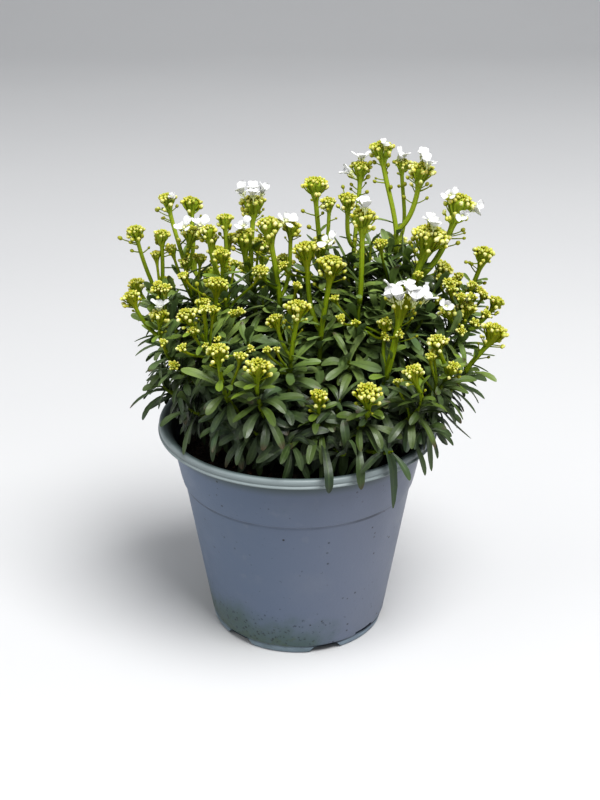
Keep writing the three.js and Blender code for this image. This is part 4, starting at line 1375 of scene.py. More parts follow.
@dataclass
class Plan:
    """Lays the plant out by the rule that the solids follow."""

    pot: Pot
    soil: Soil
    rule: LeafRule = field(default_factory=LeafRule)
    stem_radius: float = 1.6
    root_share: float = 0.36
    upright: float = 0.4
    tip_lean: float = 0.16
    fork: float = 0.3
    hole_depth: float = 8.0
    stalk_radius: float = 0.9
    radius_per_head: float = 0.07
    first_branch: float = 0.1
    branch_spacing: float = 0.12
    branch_lean: float = 0.6
    stalk_bend: float = 0.35
    head_top: float = 0.75
    flower_ring: float = 4.8
    flower_turn: float = 0.3
    petal_room: float = 1.3
    petal_reach: tuple[float, ...] = (6.0, 4.0, 6.0, 4.0)
    petal_thickness: float = 0.8
    notch: float = 1.3
    first_seed: int = 1000
    tuft_radius: float = 1.1
    tuft_forks: tuple[float, ...] = (0.32, 0.4, 0.5)

    def shoot_curve(self, root: Point, tip: Point) -> Bend:
        """Returns a shoot's curve: upright, outwards, then up again to its tip."""
        rise = tip[2] - root[2]
        late = tip + (root - tip) * self.tip_lean
        late[2] = tip[2] - self.upright * rise
        return Bend(root, root + UP * self.upright * rise, late, tip)

    def stalk_curve(self, foot: Point, heading: Point, head: Point) -> Bend:
        """Returns the curve of a stalk from its foot and first heading up to its head."""
        reach = float(np.linalg.norm(head - foot))
        lean = unit(unit(head - foot) + UP)
        bend = self.stalk_bend
        return Bend(foot, foot + heading * bend * reach, head - lean * bend * reach, head)

    def stalk_curves(self, shoot: Bend, heads: list[Point]) -> list[Bend]:
        """Returns the curves of a spray: one on the shoot's tip and the others off that one."""
        axis = shoot.tangent(1)
        main = self.stalk_curve(shoot.point(1) + axis * self.soil.gap, axis, heads[0])
        curves = [main]
        for i, head in enumerate(heads[1:]):
            place = self.first_branch + i * self.branch_spacing
            foot = main.point(place)
            along = main.tangent(place)
            away = head - foot
            away = unit(away - along * np.dot(away, along))
            curves.append(self.stalk_curve(foot, unit(away + along * self.branch_lean), head))
        return curves

    def lay_out(self, stem: Stem, order: int, first_number: int) -> GrownStem:
        """Lays out one stem.

        Args:
            stem: What it bears.
            order: Its place in the list.
            first_number: The number of its first shoot.

        Returns:
            The stem in space, with no leaves yet.
        """
        tips = [np.array(shoot.tip, float) for shoot in stem.shoots]
        root = sum(tips) * self.root_share / len(tips)
        root[2] = self.soil.edge_height - self.hole_depth + self.soil.gap
        first = self.shoot_curve(root, tips[0])
        shoots = []
        for i, shoot in enumerate(stem.shoots):
            curve = first if i == 0 else self.shoot_curve(first.point(self.fork), tips[i])
            heads = [np.array(head.at, float) for head in shoot.heads]
            stalks = []
            for path, head in zip(self.stalk_curves(curve, heads), shoot.heads):
                radius = self.stalk_radius + self.radius_per_head * head.size
                stalks.append(Stalk(path, head.size, head.flowers, radius))
            over = [np.array(place, float) for place in shoot.hanging]
            spray = f"spray_{stem.name}_{i + 1}"
            shoots.append(GrownShoot(first_number + i, spray, curve, stalks, over))
        return GrownStem(f"leafy_stem_{stem.name}", shoots, Draws(self.first_seed + order))

    def flower_seats(self, stalk: Stalk) -> list[tuple[Point, Point, float]]:
        """Returns the place, the axis and the bearing of each open flower over a stalk's head."""
        axis = stalk.path.tangent(1)
        middle = stalk.path.point(1) + axis * (stalk.size * self.head_top + self.soil.gap)
        reach = self.flower_ring if stalk.flowers > 1 else 0.0
        across = level_frame(axis)
        return [(middle + turned(*across, turn) * reach, axis, turn) for turn in stalk.bearings]

    def petal_corners(self, stalk: Stalk) -> np.ndarray:
        """Returns the balls that a head's open flowers fill, one round each corner of a petal."""
        balls = []
        for centre, axis, bearing in self.flower_seats(stalk):
            for k, reach in enumerate(self.petal_reach):
                for offset, radius in ((-45, self.notch), (-30, reach), (30, reach)):
                    out = turned(*level_frame(axis), bearing + radians(90 * k + offset))
                    for height in (0.0, self.petal_thickness):
                        balls.append((*(centre + out * radius + axis * height), self.petal_room))
        return np.array(balls)

    def grow(self, room: Room) -> list[GrownStem]:
        """Lays out all the stems, sprays, flowers and the leaves that the solids have.

        Args:
            room: What is taken, which gains all of them.

        Returns:
            The stems.
        """
        stems = []
        number = 0
        for order, stem in enumerate(STEMS):
            stems.append(self.lay_out(stem, order, number))
            number += len(stem.shoots)
        for stem in stems:
            for shoot in stem.shoots:
                self.set_spray(shoot, room, stem.draws)
        for stem, grown in zip(STEMS, stems):
            for tip in stem.tufts:
                number += self.set_tuft(grown, np.array(tip, float), number, room)
        rule = self.rule
        for shoot in [shoot for stem in stems for shoot in stem.shoots]:
            for tip in shoot.over:
                leaf = rule.hanging(shoot.curve, tip, self.pot)
                room.take(LEAF, leaf.balls())
                shoot.leaves.append((leaf, 0.0))
        for stem in stems:
            for shoot in stem.shoots:
                self.set_leaves(shoot, (rule.per_shoot, rule.lowest_on_shoot), room, stem.draws)
            for tuft in stem.tufts:
                self.set_leaves(tuft, (rule.per_tuft, rule.lowest_on_tuft), room, stem.draws)
        return stems

    def set_spray(self, shoot: GrownShoot, room: Room, draws: Draws) -> None:
        """Turns the open flowers of a shoot's spray and takes room for the shoot and the spray.

        Args:
            shoot: The shoot.
            room: What is taken.
            draws: The stem's numbers.
        """
        room.take(shoot.number, room.rod(shoot.curve, self.stem_radius))
        for stalk in shoot.stalks:
            room.take(SPRAY, room.rod(stalk.path, stalk.radius))
            room.take(SPRAY, np.array([(*stalk.path.point(1), stalk.size)]))
            # The solids turn each head by one number of the stream.
            draws()
        for stalk in shoot.stalks:
            for i in range(stalk.flowers):
                share = (i + 0.5) / stalk.flowers
                stalk.bearings.append(share * 2 * pi + self.flower_turn * draws())
            if stalk.flowers:
                room.take(SPRAY, self.petal_corners(stalk))

    def set_tuft(self, stem: GrownStem, tip: Point, number: int, room: Room) -> int:
        """Forks a tuft off a stem's first shoot where its way is free.

        Args:
            stem: The stem.
            tip: The tuft's tip.
            number: The tuft's number.
            room: What is taken.

        Returns:
            1 where it was set, or 0.
        """
        bearers = tuple(shoot.number for shoot in stem.shoots)
        bearers += tuple(tuft.number for tuft in stem.tufts)
        for fork in self.tuft_forks:
            curve = self.shoot_curve(stem.shoots[0].curve.point(fork), tip)
            balls = room.rod(curve, self.tuft_radius)
            if room.is_clear(bearers, balls):
                room.take(number, balls)
                stem.tufts.append(Tuft(number, curve))
                return 1
        return 0

    def set_leaves(
        self, shoot: GrownShoot | Tuft, spiral: tuple[int, float], room: Room, draws: Draws
    ) -> None:
        """Places the leaves that the solid of a shoot or tuft has.

        Args:
            shoot: The shoot or tuft.
            spiral: How many leaves it has and where the lowest one is.
            room: What is taken.
            draws: The stem's numbers.
        """
        rule = self.rule
        count, lowest = spiral
        start = 360 * draws()
        for i in range(count):
            share = i / (count - 1)
            place = lowest + (rule.highest - lowest) * share
            leaf = rule.clear(
                room,
                shoot.number,
                shoot.curve.tangent(place),
                root=shoot.curve.point(place),
                swing=start + i * GOLDEN_ANGLE,
                pitch=rule.low_pitch + (rule.high_pitch - rule.low_pitch) * share,
                length=rule.length + rule.spread * (draws() - 0.5),
            )
            if leaf is not None:
                shoot.leaves.append((leaf, place))


# Leafy stems


@dataclass
class LeafyStems:
    """The woody stems with all their leaves, one piece for each solid."""

    plan: Plan
    room: Room
    more_on_shoot: int = 36
    more_on_tuft: int = 22
    on_inner_tuft: int = 22
    on_stalk: int = 6
    woody_shoot: float = 0.45
    woody_tuft: float = 0.25
    solid_width: float = 0.92
    solid_length: float = 0.9
    outer_length: float = 0.82
    outer_reach: float = 73.0
    closing: float = 420.0
    rim_reach: float = 62.0
    rim_top: float = 113.0
    tuft_from: float = 0.32
    near_at: float = 0.4
    ball_share: float = 0.55
    ball_gap: float = 0.1
    sides: int = 9
    steps: int = 14
    first_seed: int = 5000
    first_inner_seed: int = 9000

    def build(self, stems: list[GrownStem]) -> list[Piece]:
        """Makes the pieces.

        Args:
            stems: The stems in space.

        Returns:
            One object for each stem.
        """
        drafts = {stem.name: Draft(Draws(self.first_seed + i)) for i, stem in enumerate(stems)}
        for stem in stems:
            draft = drafts[stem.name]
            for shoot in stem.shoots:
                self._wood(draft, shoot.curve, self.plan.stem_radius, self.woody_shoot)
                self._solid_leaves(draft, shoot)
                self._more_leaves(draft, shoot.curve, self.more_on_shoot)
                self._stalk_leaves(draft, shoot.stalks[0].path)
            for tuft in stem.tufts:
                self._wood(draft, tuft.curve, self.plan.tuft_radius, self.woody_tuft)
                self._solid_leaves(draft, tuft)
                self._more_leaves(draft, tuft.curve, self.more_on_tuft, 0.15)
        for i, tip in enumerate(np.array(INNER_TUFTS, float)):
            reaches = [np.linalg.norm(stem.shoots[0].curve.point(self.near_at) - tip) for stem in stems]
            stem = stems[int(np.argmin(reaches))]
            draft = drafts[stem.name]
            draft.draws = Draws(self.first_inner_seed + i)
            curve = self.plan.shoot_curve(stem.shoots[0].curve.point(self.tuft_from), tip)
            self._wood(draft, curve, self.plan.tuft_radius, self.woody_tuft)
            self._more_leaves(draft, curve, self.on_inner_tuft, 0.5)
        skins = [LeafSkin().material(), StalkSkin().material()]
        pieces = []
        for name, draft in drafts.items():
            piece = draft.piece(f"foliage_{name.removeprefix('leafy_stem_')}", skins, BLADE_CREASE)
            pieces.append(seat(piece, Slot.LEAF, name))
        return pieces

    def _wood(self, draft: Draft, curve: Bend, radius: float, woody: float) -> None:
        """Adds a stem's rod, brown at its root and green at its tip.

        Args:
            draft: The mesh.
            curve: The stem's curve.
            radius: Its radius at the root.
            woody: The share of it that is brown.
        """
        shares = np.linspace(0.0, 1.0, self.steps)
        rows = []
        for share, (place, *across) in zip(shares, frames(curve, shares)):
            slim = radius * (1 - 0.25 * share - 0.45 * max(0.0, share - 0.9) / 0.1)
            sizes = [slim * (1 + 0.07 * sin(3 * turn + 9 * share)) for turn in corners(self.sides)]
            brown = max(0.0, min(1.0, (woody + 0.2 - share) / 0.3))
            tone = [(0.0, 0.05, 0.4 + 0.4 * (j % 2), brown) for j in range(self.sides)]
            rows.append((ring(place, across, sizes), tone))
        draft.loft(rows, 1)

    def _solid_leaves(self, draft: Draft, shoot: GrownShoot | Tuft) -> None:
        """Adds the leaves that the solid has too."""
        draws = draft.draws
        freshness = 2.2 if isinstance(shoot, GrownShoot) else 0.3
        for leaf, place in shoot.leaves:
            young = max(0.0, place - 0.82) * freshness * draws()
            scale = 1.0
            if place > 0:
                outer = hypot(leaf.tip[0], leaf.tip[1]) > self.outer_reach
                scale = self.outer_length if outer else self.solid_length
            belly, tip = (leaf.root + (end - leaf.root) * scale for end in (leaf.belly, leaf.tip))
            shown = Leaf(leaf.root, belly, tip, leaf.side, young, self.solid_width)
            shown.grow(draft, draws() ** 1.3, draws(-24, 24))

    def _stalk_leaves(self, draft: Draft, path: Bend) -> None:
        """Adds the small fresh leaves on the foot of a flower stalk."""
        draws = draft.draws
        start = draws(0, 360)
        top = min(0.5, 16.0 / path.length())
        for i in range(self.on_stalk):
            share = (i + 0.5) / self.on_stalk
            leaf = self.plan.rule.leaf(
                path.point(top * share),
                path.tangent(top * share),
                start + i * GOLDEN_ANGLE + draws(-20, 20),
                78 - 30 * share + draws(-10, 10),
                draws(8, 14) * (1 - 0.3 * share),
                curl=draws(0, 30),
                youth=draws(0.15, 0.75),
                width=draws(0.6, 0.85),
                bow=draws(-0.8, 0.8),
            )
            leaf.grow(draft, draws(), draws(-30, 30))

    def _more_leaves(self, draft: Draft, curve: Bend, count: int, freshness: float = 1.0) -> None:
        """Adds the leaves between those of the solid.

        Args:
            draft: The mesh.
            curve: The curve that they grow along.
            count: How many there are at most.
            freshness: How yellow the youngest ones are, 0 to 1.
        """
        draws = draft.draws
        start = draws(0, 360)
        for i in range(count):
            share = ((i + 0.5) / count) ** 0.8
            high = max(0.0, (share - 0.65) / 0.35)
            place = 0.34 + 0.65 * share
            low = min(1.0, max(0.0, (138 - curve.point(place)[2]) / 34))
            self._free_leaf(
                draft,
                curve,
                place,
                swing=start + i * GOLDEN_ANGLE + draws(-22, 22),
                pitch=112 - 70 * share - self.closing * max(0.0, place - 0.92) + draws(-16, 16),
                length=draws(12, 21 + 4 * low) * (1 - 0.25 * high),
                width=draws(0.80, 1.18) * (1 - 0.12 * high) * (1 - 0.24 * low),
                curl=draws(0, 44),
                droop=draws(0.0, 0.35) * (1 - high) + draws(0.3, 1.5) * low,
                bow=draws(-1.3, 1.3),
                youth=high * freshness * draws(0.0, 0.5),
                tint=draws() ** 1.5,
                roll=draws(-40, 40),
            )

    def _free_leaf(self, draft: Draft, curve: Bend, place: float, **leaf: float) -> None:
        """Adds a leaf where it has room beside the stalks, heads, pot and soil.

        Args:
            draft: The mesh.
            curve: The shoot's curve.
            place: The share of it that the leaf grows from.
            **leaf: Its swing, pitch, length, width, curl, droop, bow, youth, tint and roll.
        """
        root, axis = curve.point(place), curve.tangent(place)
        tint, roll = leaf.pop("tint"), leaf.pop("roll")
        swing, pitch, length = (leaf.pop(name) for name in ("swing", "pitch", "length"))
        for aside, lift in ((0, 0), (0, -18), (22, 0), (22, -18), (-22, 0), (-22, -18)):
            tried = self.plan.rule.leaf(root, axis, swing + aside, pitch + lift, length, **leaf)
            beyond = hypot(tried.tip[0], tried.tip[1]) > self.rim_reach
            if beyond and tried.tip[2] < self.rim_top:
                continue
            balls = tried.balls(5)
            balls[:, 3] *= self.ball_share
            if self.room.is_clear((LEAF,), balls[1:], self.ball_gap):
                tried.grow(draft, tint, roll)
                return


# Sprays of buds


@dataclass
class Sprays:
    """The flower stalks with their heads of single buds, one piece for each solid."""

    plan: Plan
    bud_radius: float = 1.08
    bud_sides: int = 7
    ribs: int = 7
    sides_per_rib: int = 3
    stalk_rings: int = 24
    cone_depth: float = 1.45
    cone_width: float = 0.66
    crown_rise: float = 0.52
    crown_fall: float = 0.50
    full_share: float = 0.98
    fewer_over: int = 2
    fine_from: float = 0.78
    long_pedicel: float = 4.0
    pedicel_radius: float = 0.27
    open_share: float = 0.6
    open_sink: float = 0.3
    small_stalk_radius: float = 0.85
    small_stalk_from: float = 0.8
    far_dull: float = 0.9
    bunch: int = 18
    first_seed: int = 7000
    first_small_seed: int = 8000
    stray_seed: int = 8500

    # Height and width of a bud, as shares of its radius.
    fine_bud = ((-1.12, 0.30), (-0.80, 0.76), (-0.20, 1.0), (0.45, 0.94), (0.92, 0.6), (1.18, 0.18))
    small_bud = ((-1.12, 0.30), (-0.45, 0.95), (0.45, 0.92), (1.12, 0.2))

    def build(self, stems: list[GrownStem]) -> list[Piece]:
        """Makes the pieces.

        Args:
            stems: The stems in space.

        Returns:
            One object for each spray, and those with the small heads.
        """
        skins = [BudSkin().material(), StalkSkin().material()]
        shoots = [shoot for stem in stems for shoot in stem.shoots]
        pieces = []
        for shoot in shoots:
            draft = Draft(Draws(self.first_seed + shoot.number))
            for stalk in shoot.stalks:
                self._stalk(draft, stalk)
                self._head(draft, stalk)
                self._side_buds(draft, stalk)
            piece = draft.piece(f"buds_{shoot.spray.removeprefix('spray_')}", skins)
            pieces.append(seat(piece, Slot.BUD, shoot.spray))
        for i, draft in enumerate(self._small_heads(shoots)):
            pieces.append(seat(draft.piece(f"small_bud_heads_{i + 1}", skins), Slot.BUD))
        return pieces

    def _stalk(self, draft: Draft, stalk: Stalk, small: bool = False) -> None:
        """Adds a ribbed stalk that widens into the cone under its head.

        Args:
            draft: The mesh.
            stalk: The stalk.
            small: True for a stalk of the small heads, which has fewer rings and sides.
        """
        length = stalk.path.length()
        sides = self.ribs * (2 if small else self.sides_per_rib)
        grooves = [0.5 - 0.5 * cos(self.ribs * turn) for turn in corners(sides)]
        shares = 1 - (1 - np.linspace(0.0, 1.0, self.stalk_rings // (2 if small else 1))) ** 1.5
        slim = stalk.radius * (0.54 + 0.05 * stalk.size)
        wide = self.cone_width * stalk.size
        tint = draft.draws(0.1, 0.8)
        rows = []

        def add(place: Point, size: float, depth: float, tone: tuple[float, ...], least: float) -> None:
            """Adds a row with grooves of a depth, whose tone is never less than least."""
            points = ring(place, across, [size * (1 + depth * (0.5 - 2 * groove)) for groove in grooves])
            rows.append((points, [(*tone, max(least, groove), 0.0) for groove in grooves]))

        for share, (place, *across) in zip(shares, frames(stalk.path, shares)):
            below = (1 - share) * length / stalk.size
            flare = max(0.0, 1 - below / self.cone_depth) ** 1.4
            size = slim + (wide - slim) * flare
            add(place, size, 0.06 + 0.14 * flare, (tint * (1 - 0.5 * flare), share + 0.2), 0.0)
        tip, up = stalk.path.point(1), stalk.path.tangent(1) * stalk.size
        # The top of the cone under the buds carries painted shade through its groove tone.
        for rise, reach in ((0.22, 0.85), (0.42, 0.35)):
            add(tip + up * rise, wide * reach, 0.1, (0.1, 1.0), 0.7)
        draft.loft(rows, 1)

    def _head(self, draft: Draft, stalk: Stalk) -> None:
        """Adds the crown of buds over a stalk, with their short stalks."""
        axis = stalk.path.tangent(1)
        in_flower = stalk.flowers > self.fewer_over
        sunk, share = (self.open_sink * stalk.size, self.open_share) if in_flower else (0.0, self.full_share)
        self._crown(draft, stalk.path.point(1) - axis * sunk, axis, stalk.size, share)

    def _crown(self, draft: Draft, centre: Point, axis: Point, size: float, filled: float) -> None:
        """Adds a crown of buds, small and tight in its middle, larger and looser at its edge.

        Args:
            draft: The mesh.
            centre: The middle of the head.
            axis: The way that it faces.
            size: Its radius.
            filled: The share of the radius that has buds.
        """
        draws = draft.draws
        across = level_frame(axis)
        ripeness = draws(0.0, 1.0)
        fullness = self.bud_radius * min(1.12, 0.52 + 0.09 * size) * (0.92 + 0.14 * ripeness)
        reach = 0.0
        number = 0
        while reach < size * filled:
            share = reach / size
            radius = fullness * (0.44 + 0.56 * share ** 1.9) * draws(0.84, 1.18)
            out = turned(*across, radians(GOLDEN_ANGLE * number) + draws(-0.2, 0.2))
            rise = self.crown_rise - self.crown_fall * share * share + draws(-0.08, 0.08)
            place = centre + out * reach * draws(0.9, 1.06) + axis * size * rise
            if share < 0.66 or draws() > 0.25:
                heading = unit(axis * (1.2 - share) + out * share)
                self._bud(draft, place, heading, radius, share * (0.75 + 0.35 * ripeness))
                foot = centre + out * reach * 0.4 - axis * size * (0.1 + 0.6 * share)
                self._pedicel(draft, foot, place, 0.26 + 0.12 * share)
            reach = sqrt(reach * reach + 1.02 * radius * radius)
            number += 1

    def _bud(
        self, draft: Draft, place: Point, heading: Point, radius: float, pale: float, dull: float = 0.0
    ) -> None:
        """Adds one closed bud.

        Args:
            draft: The mesh.
            place: Its middle.
            heading: The way that its tip points.
            radius: Half its width.
            pale: How pale its tip is, 0 to 1.
            dull: How dull and olive it is, 0 to 1.
        """
        draws = draft.draws
        side = about(heading, draws(0, 360))
        across = (side, np.cross(heading, side))
        tint = (draws(0.15, 0.7) + 0.3 * pale) * (1 - 0.7 * dull)
        paleness = min(1.0, max(0.0, pale ** 1.5 * draws(0.3, 1.25)))
        fine = radius > self.fine_from
        seams = [j % 2 for j in range(self.bud_sides if fine else self.bud_sides - 1)]
        rows = []
        for height, wide in self.fine_bud if fine else self.small_bud:
            sizes = [radius * wide * (1 - 0.06 * seam) for seam in seams]
            along = (height + 1.12) / 2.32
            # The sepal creases carry painted shade through the groove tone.
            tones = [(tint, along, max(float(seam), dull), paleness) for seam in seams]
            rows.append((ring(place + heading * radius * height, across, sizes), tones))
        draft.loft(rows)

    def _pedicel(self, draft: Draft, foot: Point, place: Point, radius: float, dull: float = 0.0) -> None:
        """Adds a thin bent stalk from a foot out to a bud."""
        middle = (foot + place) / 2 + (place - foot) * np.array((0.14, 0.14, -0.12))
        curve = Bend(foot, foot + (middle - foot) * 0.6, middle + (place - middle) * 0.3, place)
        long = np.linalg.norm(place - foot) > self.long_pedicel
        shares = (0.0, 0.35, 0.7, 1.0) if long else (0.0, 0.5, 1.0)
        rows = []
        for share, (point, *across) in zip(shares, frames(curve, shares)):
            tone = (0.55 - 0.45 * dull, 0.4 + share, 0.25 + 0.75 * dull, 0.0)
            rows.append((ring(point, across, [radius * (1.15 - 0.3 * share)] * 4), tone))
        draft.loft(rows, 1)

    def _side_buds(self, draft: Draft, stalk: Stalk) -> None:
        """Adds the buds that stand out on thin stalks beside and under a head."""
        draws = draft.draws
        length = stalk.path.length()
        for i in range(4 + int(stalk.size)):
            near = i < stalk.size
            below = (draws(0.75, 1.3) if near else draws(1.2, 2.6)) * stalk.size
            share = max(0.3, 1 - below / length)
            foot, axis = stalk.path.point(share), stalk.path.tangent(share)
            out = about(axis, draws(0, 360))
            reach = draws(0.72, 1.08) * stalk.size
            place = foot + out * reach + axis * reach * draws(0.35, 0.85)
            radius = draws(0.75, 1.1) if near else draws(0.55, 0.85)
            pale, dull = (0.8, 0.0) if near else (0.1, self.far_dull)
            self._pedicel(draft, foot, place, self.pedicel_radius, dull)
            self._bud(draft, place, unit(out + axis), radius, pale, dull)

    def _small_heads(self, shoots: list[GrownShoot]) -> list[Draft]:
        """Makes the small heads and single buds on thin side stalks.

        Args:
            shoots: The shoots in space.

        Returns:
            The meshes, each with some of them.
        """
        drafts = [Draft(Draws(self.stray_seed)) for _ in range(0, len(SMALL_HEADS), self.bunch)]
        feet = np.array([shoot.curve.point(self.small_stalk_from) for shoot in shoots])
        for i, (*at, size) in enumerate(SMALL_HEADS):
            draft = drafts[i // self.bunch]
            head = np.array(at, float)
            draft.draws = Draws(self.first_small_seed + i)
            nearest = int(np.argmin(np.linalg.norm(feet - head, axis=1)))
            heading = shoots[nearest].curve.tangent(self.small_stalk_from)
            path = self.plan.stalk_curve(feet[nearest], heading, head)
            self._stalk(draft, Stalk(path, size, 0, self.small_stalk_radius), small=True)
            self._crown(draft, head, path.tangent(1), size, self.full_share)
        paths = [stalk.path for shoot in shoots for stalk in shoot.stalks]
        bearers = np.array([path.point(0.3 + 0.02 * i) for path in paths for i in range(34)])
        first = drafts[0]
        first.draws = Draws(self.stray_seed)
        for place in np.array(STRAY_BUDS, float):
            lower = bearers[bearers[:, 2] < place[2] - 3.0]
            foot = lower[np.argmin(np.linalg.norm(lower - place, axis=1))]
            self._pedicel(first, foot, place, self.pedicel_radius, self.far_dull)
            radius = first.draws(0.75, 1.1)
            self._bud(first, place, unit(place - foot + UP * 3), radius, 0.2, self.far_dull)
        return drafts


# Open flowers


@dataclass
class OpenFlowers:
    """The open white flowers over some of the heads, one piece for each solid."""

    plan: Plan
    long_petal: float = 6.8
    short_petal: float = 4.6
    petal_rise: float = 0.3
    petal_thickness: float = 0.2
    size_on_head: float = 0.95
    sink: float = 0.25
    deep_sink: float = 0.7
    neck: float = 3.0
    stamens: int = 6
    first_seed: int = 6000
    single_seed: int = 6500

    # Share of a petal's length and share of its half width.
    petal_outline = (
        (0.0, 0.10), (0.14, 0.12), (0.28, 0.30), (0.45, 0.62), (0.62, 0.86),
        (0.78, 0.95), (0.90, 0.80), (0.97, 0.50), (1.0, 0.14),
    )
    # Share of a peg's height and of its radius.
    peg_outline = ((0.0, 0.6), (0.5, 0.55), (0.75, 1.0), (0.95, 0.8), (1.0, 0.3))
    # Places across a petal, as shares of its half width.
    petal_section = (1.0, 0.55, 0.0, -0.55, -1.0)

    # Flowers that stand singly beside or on a head: the place, the way they face, their size and
    # how far their petals stand up, in degrees.
    single = (
        ((-24, 14, 205), (-0.4, -0.2, 1.0), 0.95, 64),
        ((-16.5, 14, 205), (0.4, -0.2, 1.0), 0.95, 64),
        ((38, 18, 226), (0.1, -0.2, 1.0), 0.55, 40),
        ((44.5, 19, 219.5), (0.5, -0.3, 0.9), 1.0, 66),
        ((24, 20, 213), (-0.7, -0.2, 0.6), 0.95, 60),
        ((75.5, 6, 201), (0.9, -0.2, 0.3), 0.95, 55),
        ((66, 3, 208), (-0.2, -0.6, 0.8), 0.7, 40),
        ((71, -1, 200.5), (0.2, -0.9, 0.3), 0.65, 40),
        ((-43.5, 4, 193.5), (0.3, -0.3, 0.9), 1.0, 50),
        ((-49.5, 2, 193.5), (-0.2, -0.5, 0.8), 0.85, 35),
        ((-23.8, 6, 193), (0.0, -0.4, 0.9), 0.8, 40),
        ((-6, 4, 196), (0.5, -0.4, 0.7), 1.0, 30),
        ((13.5, -5, 189.5), (-0.3, -0.5, 0.7), 0.85, 35),
        ((64.5, -14, 163.5), (0.1, -0.8, 0.5), 0.7, 40),
        ((-56, 14, 203.5), (0.1, -0.5, 0.8), 0.5, 50),
        ((40.5, -25, 170), (-0.5, -0.2, 1.0), 1.1, 64),
        ((43.5, -28, 170), (-0.2, -0.3, 1.0), 1.15, 68),
        ((49, -28.5, 170), (0.2, -0.3, 1.0), 1.15, 66),
        ((53.5, -25, 169.5), (0.5, -0.2, 1.0), 1.1, 60),
        ((47, -25, 171), (0.0, -0.2, 1.0), 1.0, 66),
    )

    def build(self, stems: list[GrownStem]) -> list[Piece]:
        """Makes the pieces.

        Args:
            stems: The stems in space.

        Returns:
            One object for each head with open flowers, and one for the single flowers.
        """
        skins = [PetalSkin().material()]
        shoots = [shoot for stem in stems for shoot in stem.shoots]
        pieces = []
        for shoot, stalk in [(shoot, stalk) for shoot in shoots for stalk in shoot.stalks]:
            if not stalk.flowers:
                continue
            draft = Draft(Draws(self.first_seed + shoot.number))
            sunk = self.deep_sink if stalk.flowers > Sprays.fewer_over else self.sink
            for place, axis, bearing in self.plan.flower_seats(stalk):
                form = (self.size_on_head, draft.draws(30, 52))
                self._flower(draft, place - axis * stalk.size * sunk, axis, bearing, form)
            piece = draft.piece(f"petals_{shoot.spray.removeprefix('spray_')}", skins, BLADE_CREASE)
            pieces.append(seat(piece, Slot.PETAL, f"flowers_{shoot.spray}"))
        draft = Draft(Draws(self.single_seed))
        for at, facing, *form in self.single:
            axis = unit(np.array(facing, float))
            self._flower(draft, np.array(at, float), axis, draft.draws(0, 6), form)
        pieces.append(seat(draft.piece("single_flowers", skins, BLADE_CREASE), Slot.PETAL))
        return pieces

    def _flower(
        self, draft: Draft, centre: Point, axis: Point, bearing: float, form: Sequence[float]
    ) -> None:
        """Adds an open flower of two long petals and two short ones, with its middle.

        Args:
            draft: The mesh.
            centre: Its middle.
            axis: The way that it faces.
            bearing: The bearing of its first long petal, in radians.
            form: Its size, 1 for full size, and how far its petals stand up, in degrees.
        """
        draws = draft.draws
        size, opening = form
        across = level_frame(axis)
        for k in range(4):
            out = turned(*across, bearing + pi / 2 * k + draws(-0.2, 0.2))
            length = (self.long_petal if k % 2 == 0 else self.short_petal) * size
            lift = opening + draws(-12, 14)
            self._petal(draft, centre, (out, axis), length * draws(0.9, 1.08), lift)
        self._peg(draft, centre - axis * self.neck, axis, 0.35, self.neck + 0.4)
        self._peg(draft, centre, axis, 0.75 * size, 1.7 * size)
        for k in range(self.stamens):
            out = turned(*across, pi / 3 * k + draws(-0.2, 0.2))
            self._peg(draft, centre + out * 0.95 * size, unit(axis + out * 0.3), 0.28 * size, 2.0 * size)

    def _petal(
        self, draft: Draft, centre: Point, frame: tuple[Point, Point], length: float, lift: float
    ) -> None:
        """Adds a petal: a narrow claw that stands up, then a broad round blade that leans out.

        Args:
            draft: The mesh.
            centre: The flower's middle.
            frame: The way that the petal points and the way that the flower faces.
            length: The petal's length.
            lift: How far its blade stands up, in degrees.
        """
        out, axis = frame
        side = np.cross(axis, out)
        cup, wave = draft.draws(0.10, 0.30), draft.draws(0, 6)
        rows = []
        place = centre + axis * self.petal_rise
        last = 0.0
        for share, wide in self.petal_outline:
            angle = radians(lift + 24 * (1 - share) ** 2 - 14 * share)
            face = turned(axis, -out, angle)
            place = place + turned(out, axis, angle) * length * (share - last)
            last = share
            half = wide * (0.27 * length + 0.6)
            top = []
            for across in self.petal_section:
                ripple = 0.16 * sin(4 * across + 5 * share + wave) * share
                top.append(place + side * across * half + face * (cup * half * across * across + ripple))
            tone = [(0.5, share, across, 0.0) for across in self.petal_section]
            low = [point - face * self.petal_thickness for point in top]
            rows.append((top + low[::-1], tone + tone[::-1]))
        draft.loft(rows)

    def _peg(self, draft: Draft, foot: Point, axis: Point, radius: float, height: float) -> None:
        """Adds a small round-topped peg, for a flower's neck, its middle or a stamen."""
        across = level_frame(axis)
        rows = []
        for share, wide in self.peg_outline:
            points = ring(foot + axis * height * share, across, [radius * wide] * 6)
            rows.append((points, (0.5, 0.5, 0.0, 0.8)))
        draft.loft(rows)


# The studio


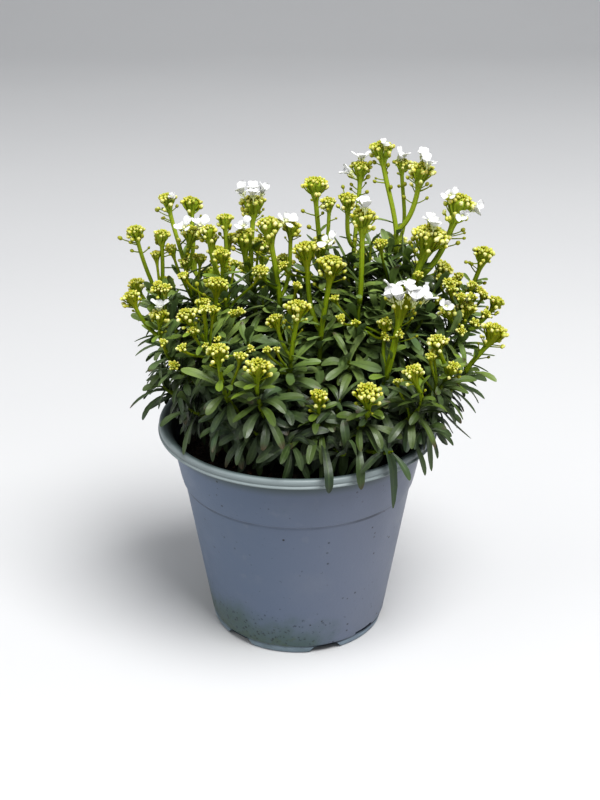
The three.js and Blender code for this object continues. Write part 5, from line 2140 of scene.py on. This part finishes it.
@dataclass
class Studio:
    """A plain pale floor, soft light and the camera at the photo's viewing angle."""

    across: float = 0.9
    back: float = 531.0
    height: float = 358.0
    pitch: float = 24.86
    focal_pixels: float = 1263.0
    image_height: float = 800.0
    sensor: float = 36.0
    floor_reach: float = 4.0

    # The floor from the viewer to the back, as Y and Z in metres.
    floor_line = ((-3.0, 0.0), (1.6, 0.0), (2.2, 0.1), (2.6, 0.5), (2.75, 1.2), (2.8, 3.0))
    # Each lamp's name, place in metres, size in metres and power in watts.
    lamps = (
        ("key_lamp", (0.45, -0.55, 1.7), 1.0, 42.0),
        ("fill_lamp", (-1.2, -0.3, 0.9), 1.2, 5.0),
    )
    lit_point = (0.0, 0.0, 0.12)

    def build(self) -> None:
        """Makes the floor, the lights and the camera."""
        self._floor()
        self._lights()
        self._camera()

    def _floor(self) -> None:
        """Makes the floor, which sweeps up far behind the plant."""
        draft = bmesh.new()
        reach = self.floor_reach
        rows = [[draft.verts.new((x, y, z)) for x in (-reach, reach)] for y, z in self.floor_line]
        for low, high in zip(rows, rows[1:]):
            draft.faces.new((low[0], low[1], high[1], high[0]))
        floor = settled("studio_floor", draft)
        floor.data.polygons.foreach_set("use_smooth", [True] * (len(rows) - 1))
        s = Shader("studio_floor")
        tone = s.blend(s.noise(3.0), (0.53, 0.53, 0.535), (0.56, 0.56, 0.56))
        floor.data.materials.append(s.dress(tone, 0.9))

    def _lights(self) -> None:
        """Makes the sky light and two large soft lamps."""
        world = bpy.data.worlds.new("studio_light")
        world.use_nodes = True
        sky = world.node_tree.nodes["Background"]
        sky.inputs["Color"].default_value = (0.93, 0.96, 1.0, 1.0)
        sky.inputs["Strength"].default_value = 0.42
        bpy.context.scene.world = world
        for name, place, size, power in self.lamps:
            lamp = bpy.data.lights.new(name, "AREA")
            lamp.size = size
            lamp.energy = power
            holder = linked(name, lamp)
            holder.location = place
            aim = Vector(self.lit_point) - Vector(place)
            holder.rotation_euler = aim.to_track_quat("-Z", "Y").to_euler()

    def _camera(self) -> None:
        """Makes the camera where the photo was taken from."""
        data = bpy.data.cameras.new("camera")
        data.sensor_fit = "VERTICAL"
        data.sensor_height = self.sensor
        data.lens = self.focal_pixels / self.image_height * self.sensor
        camera = linked("camera", data)
        camera.location = Vector((self.across, -self.back, self.height)) * MM
        camera.rotation_euler = (radians(90.0 - self.pitch), 0.0, 0.0)
        scene = bpy.context.scene
        scene.camera = camera
        scene.view_settings.view_transform = "Standard"
        scene.view_settings.look = "Medium High Contrast"


def main() -> None:
    """Builds the pot, the soil and the plant, and writes how large they are."""
    logging.basicConfig(level=logging.INFO, format="%(name)s: %(message)s")
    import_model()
    Studio().build()
    pot = Pot()
    soil = Soil(pot)
    room = Room(pot, soil)
    plan = Plan(pot, soil)
    stems = plan.grow(room)
    LOG.info("leaves of the solids: %d", sum(len(s.leaves) for stem in stems for s in stem.shoots))
    pieces = [pot.build(), soil.build()]
    pieces += LeafyStems(plan, room).build(stems)
    pieces += Sprays(plan).build(stems)
    pieces += OpenFlowers(plan).build(stems)
    for piece in pieces:
        LOG.info("%s: %d faces", piece.name, len(piece.data.polygons))
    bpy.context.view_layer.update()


if __name__ == "__main__":
    main()
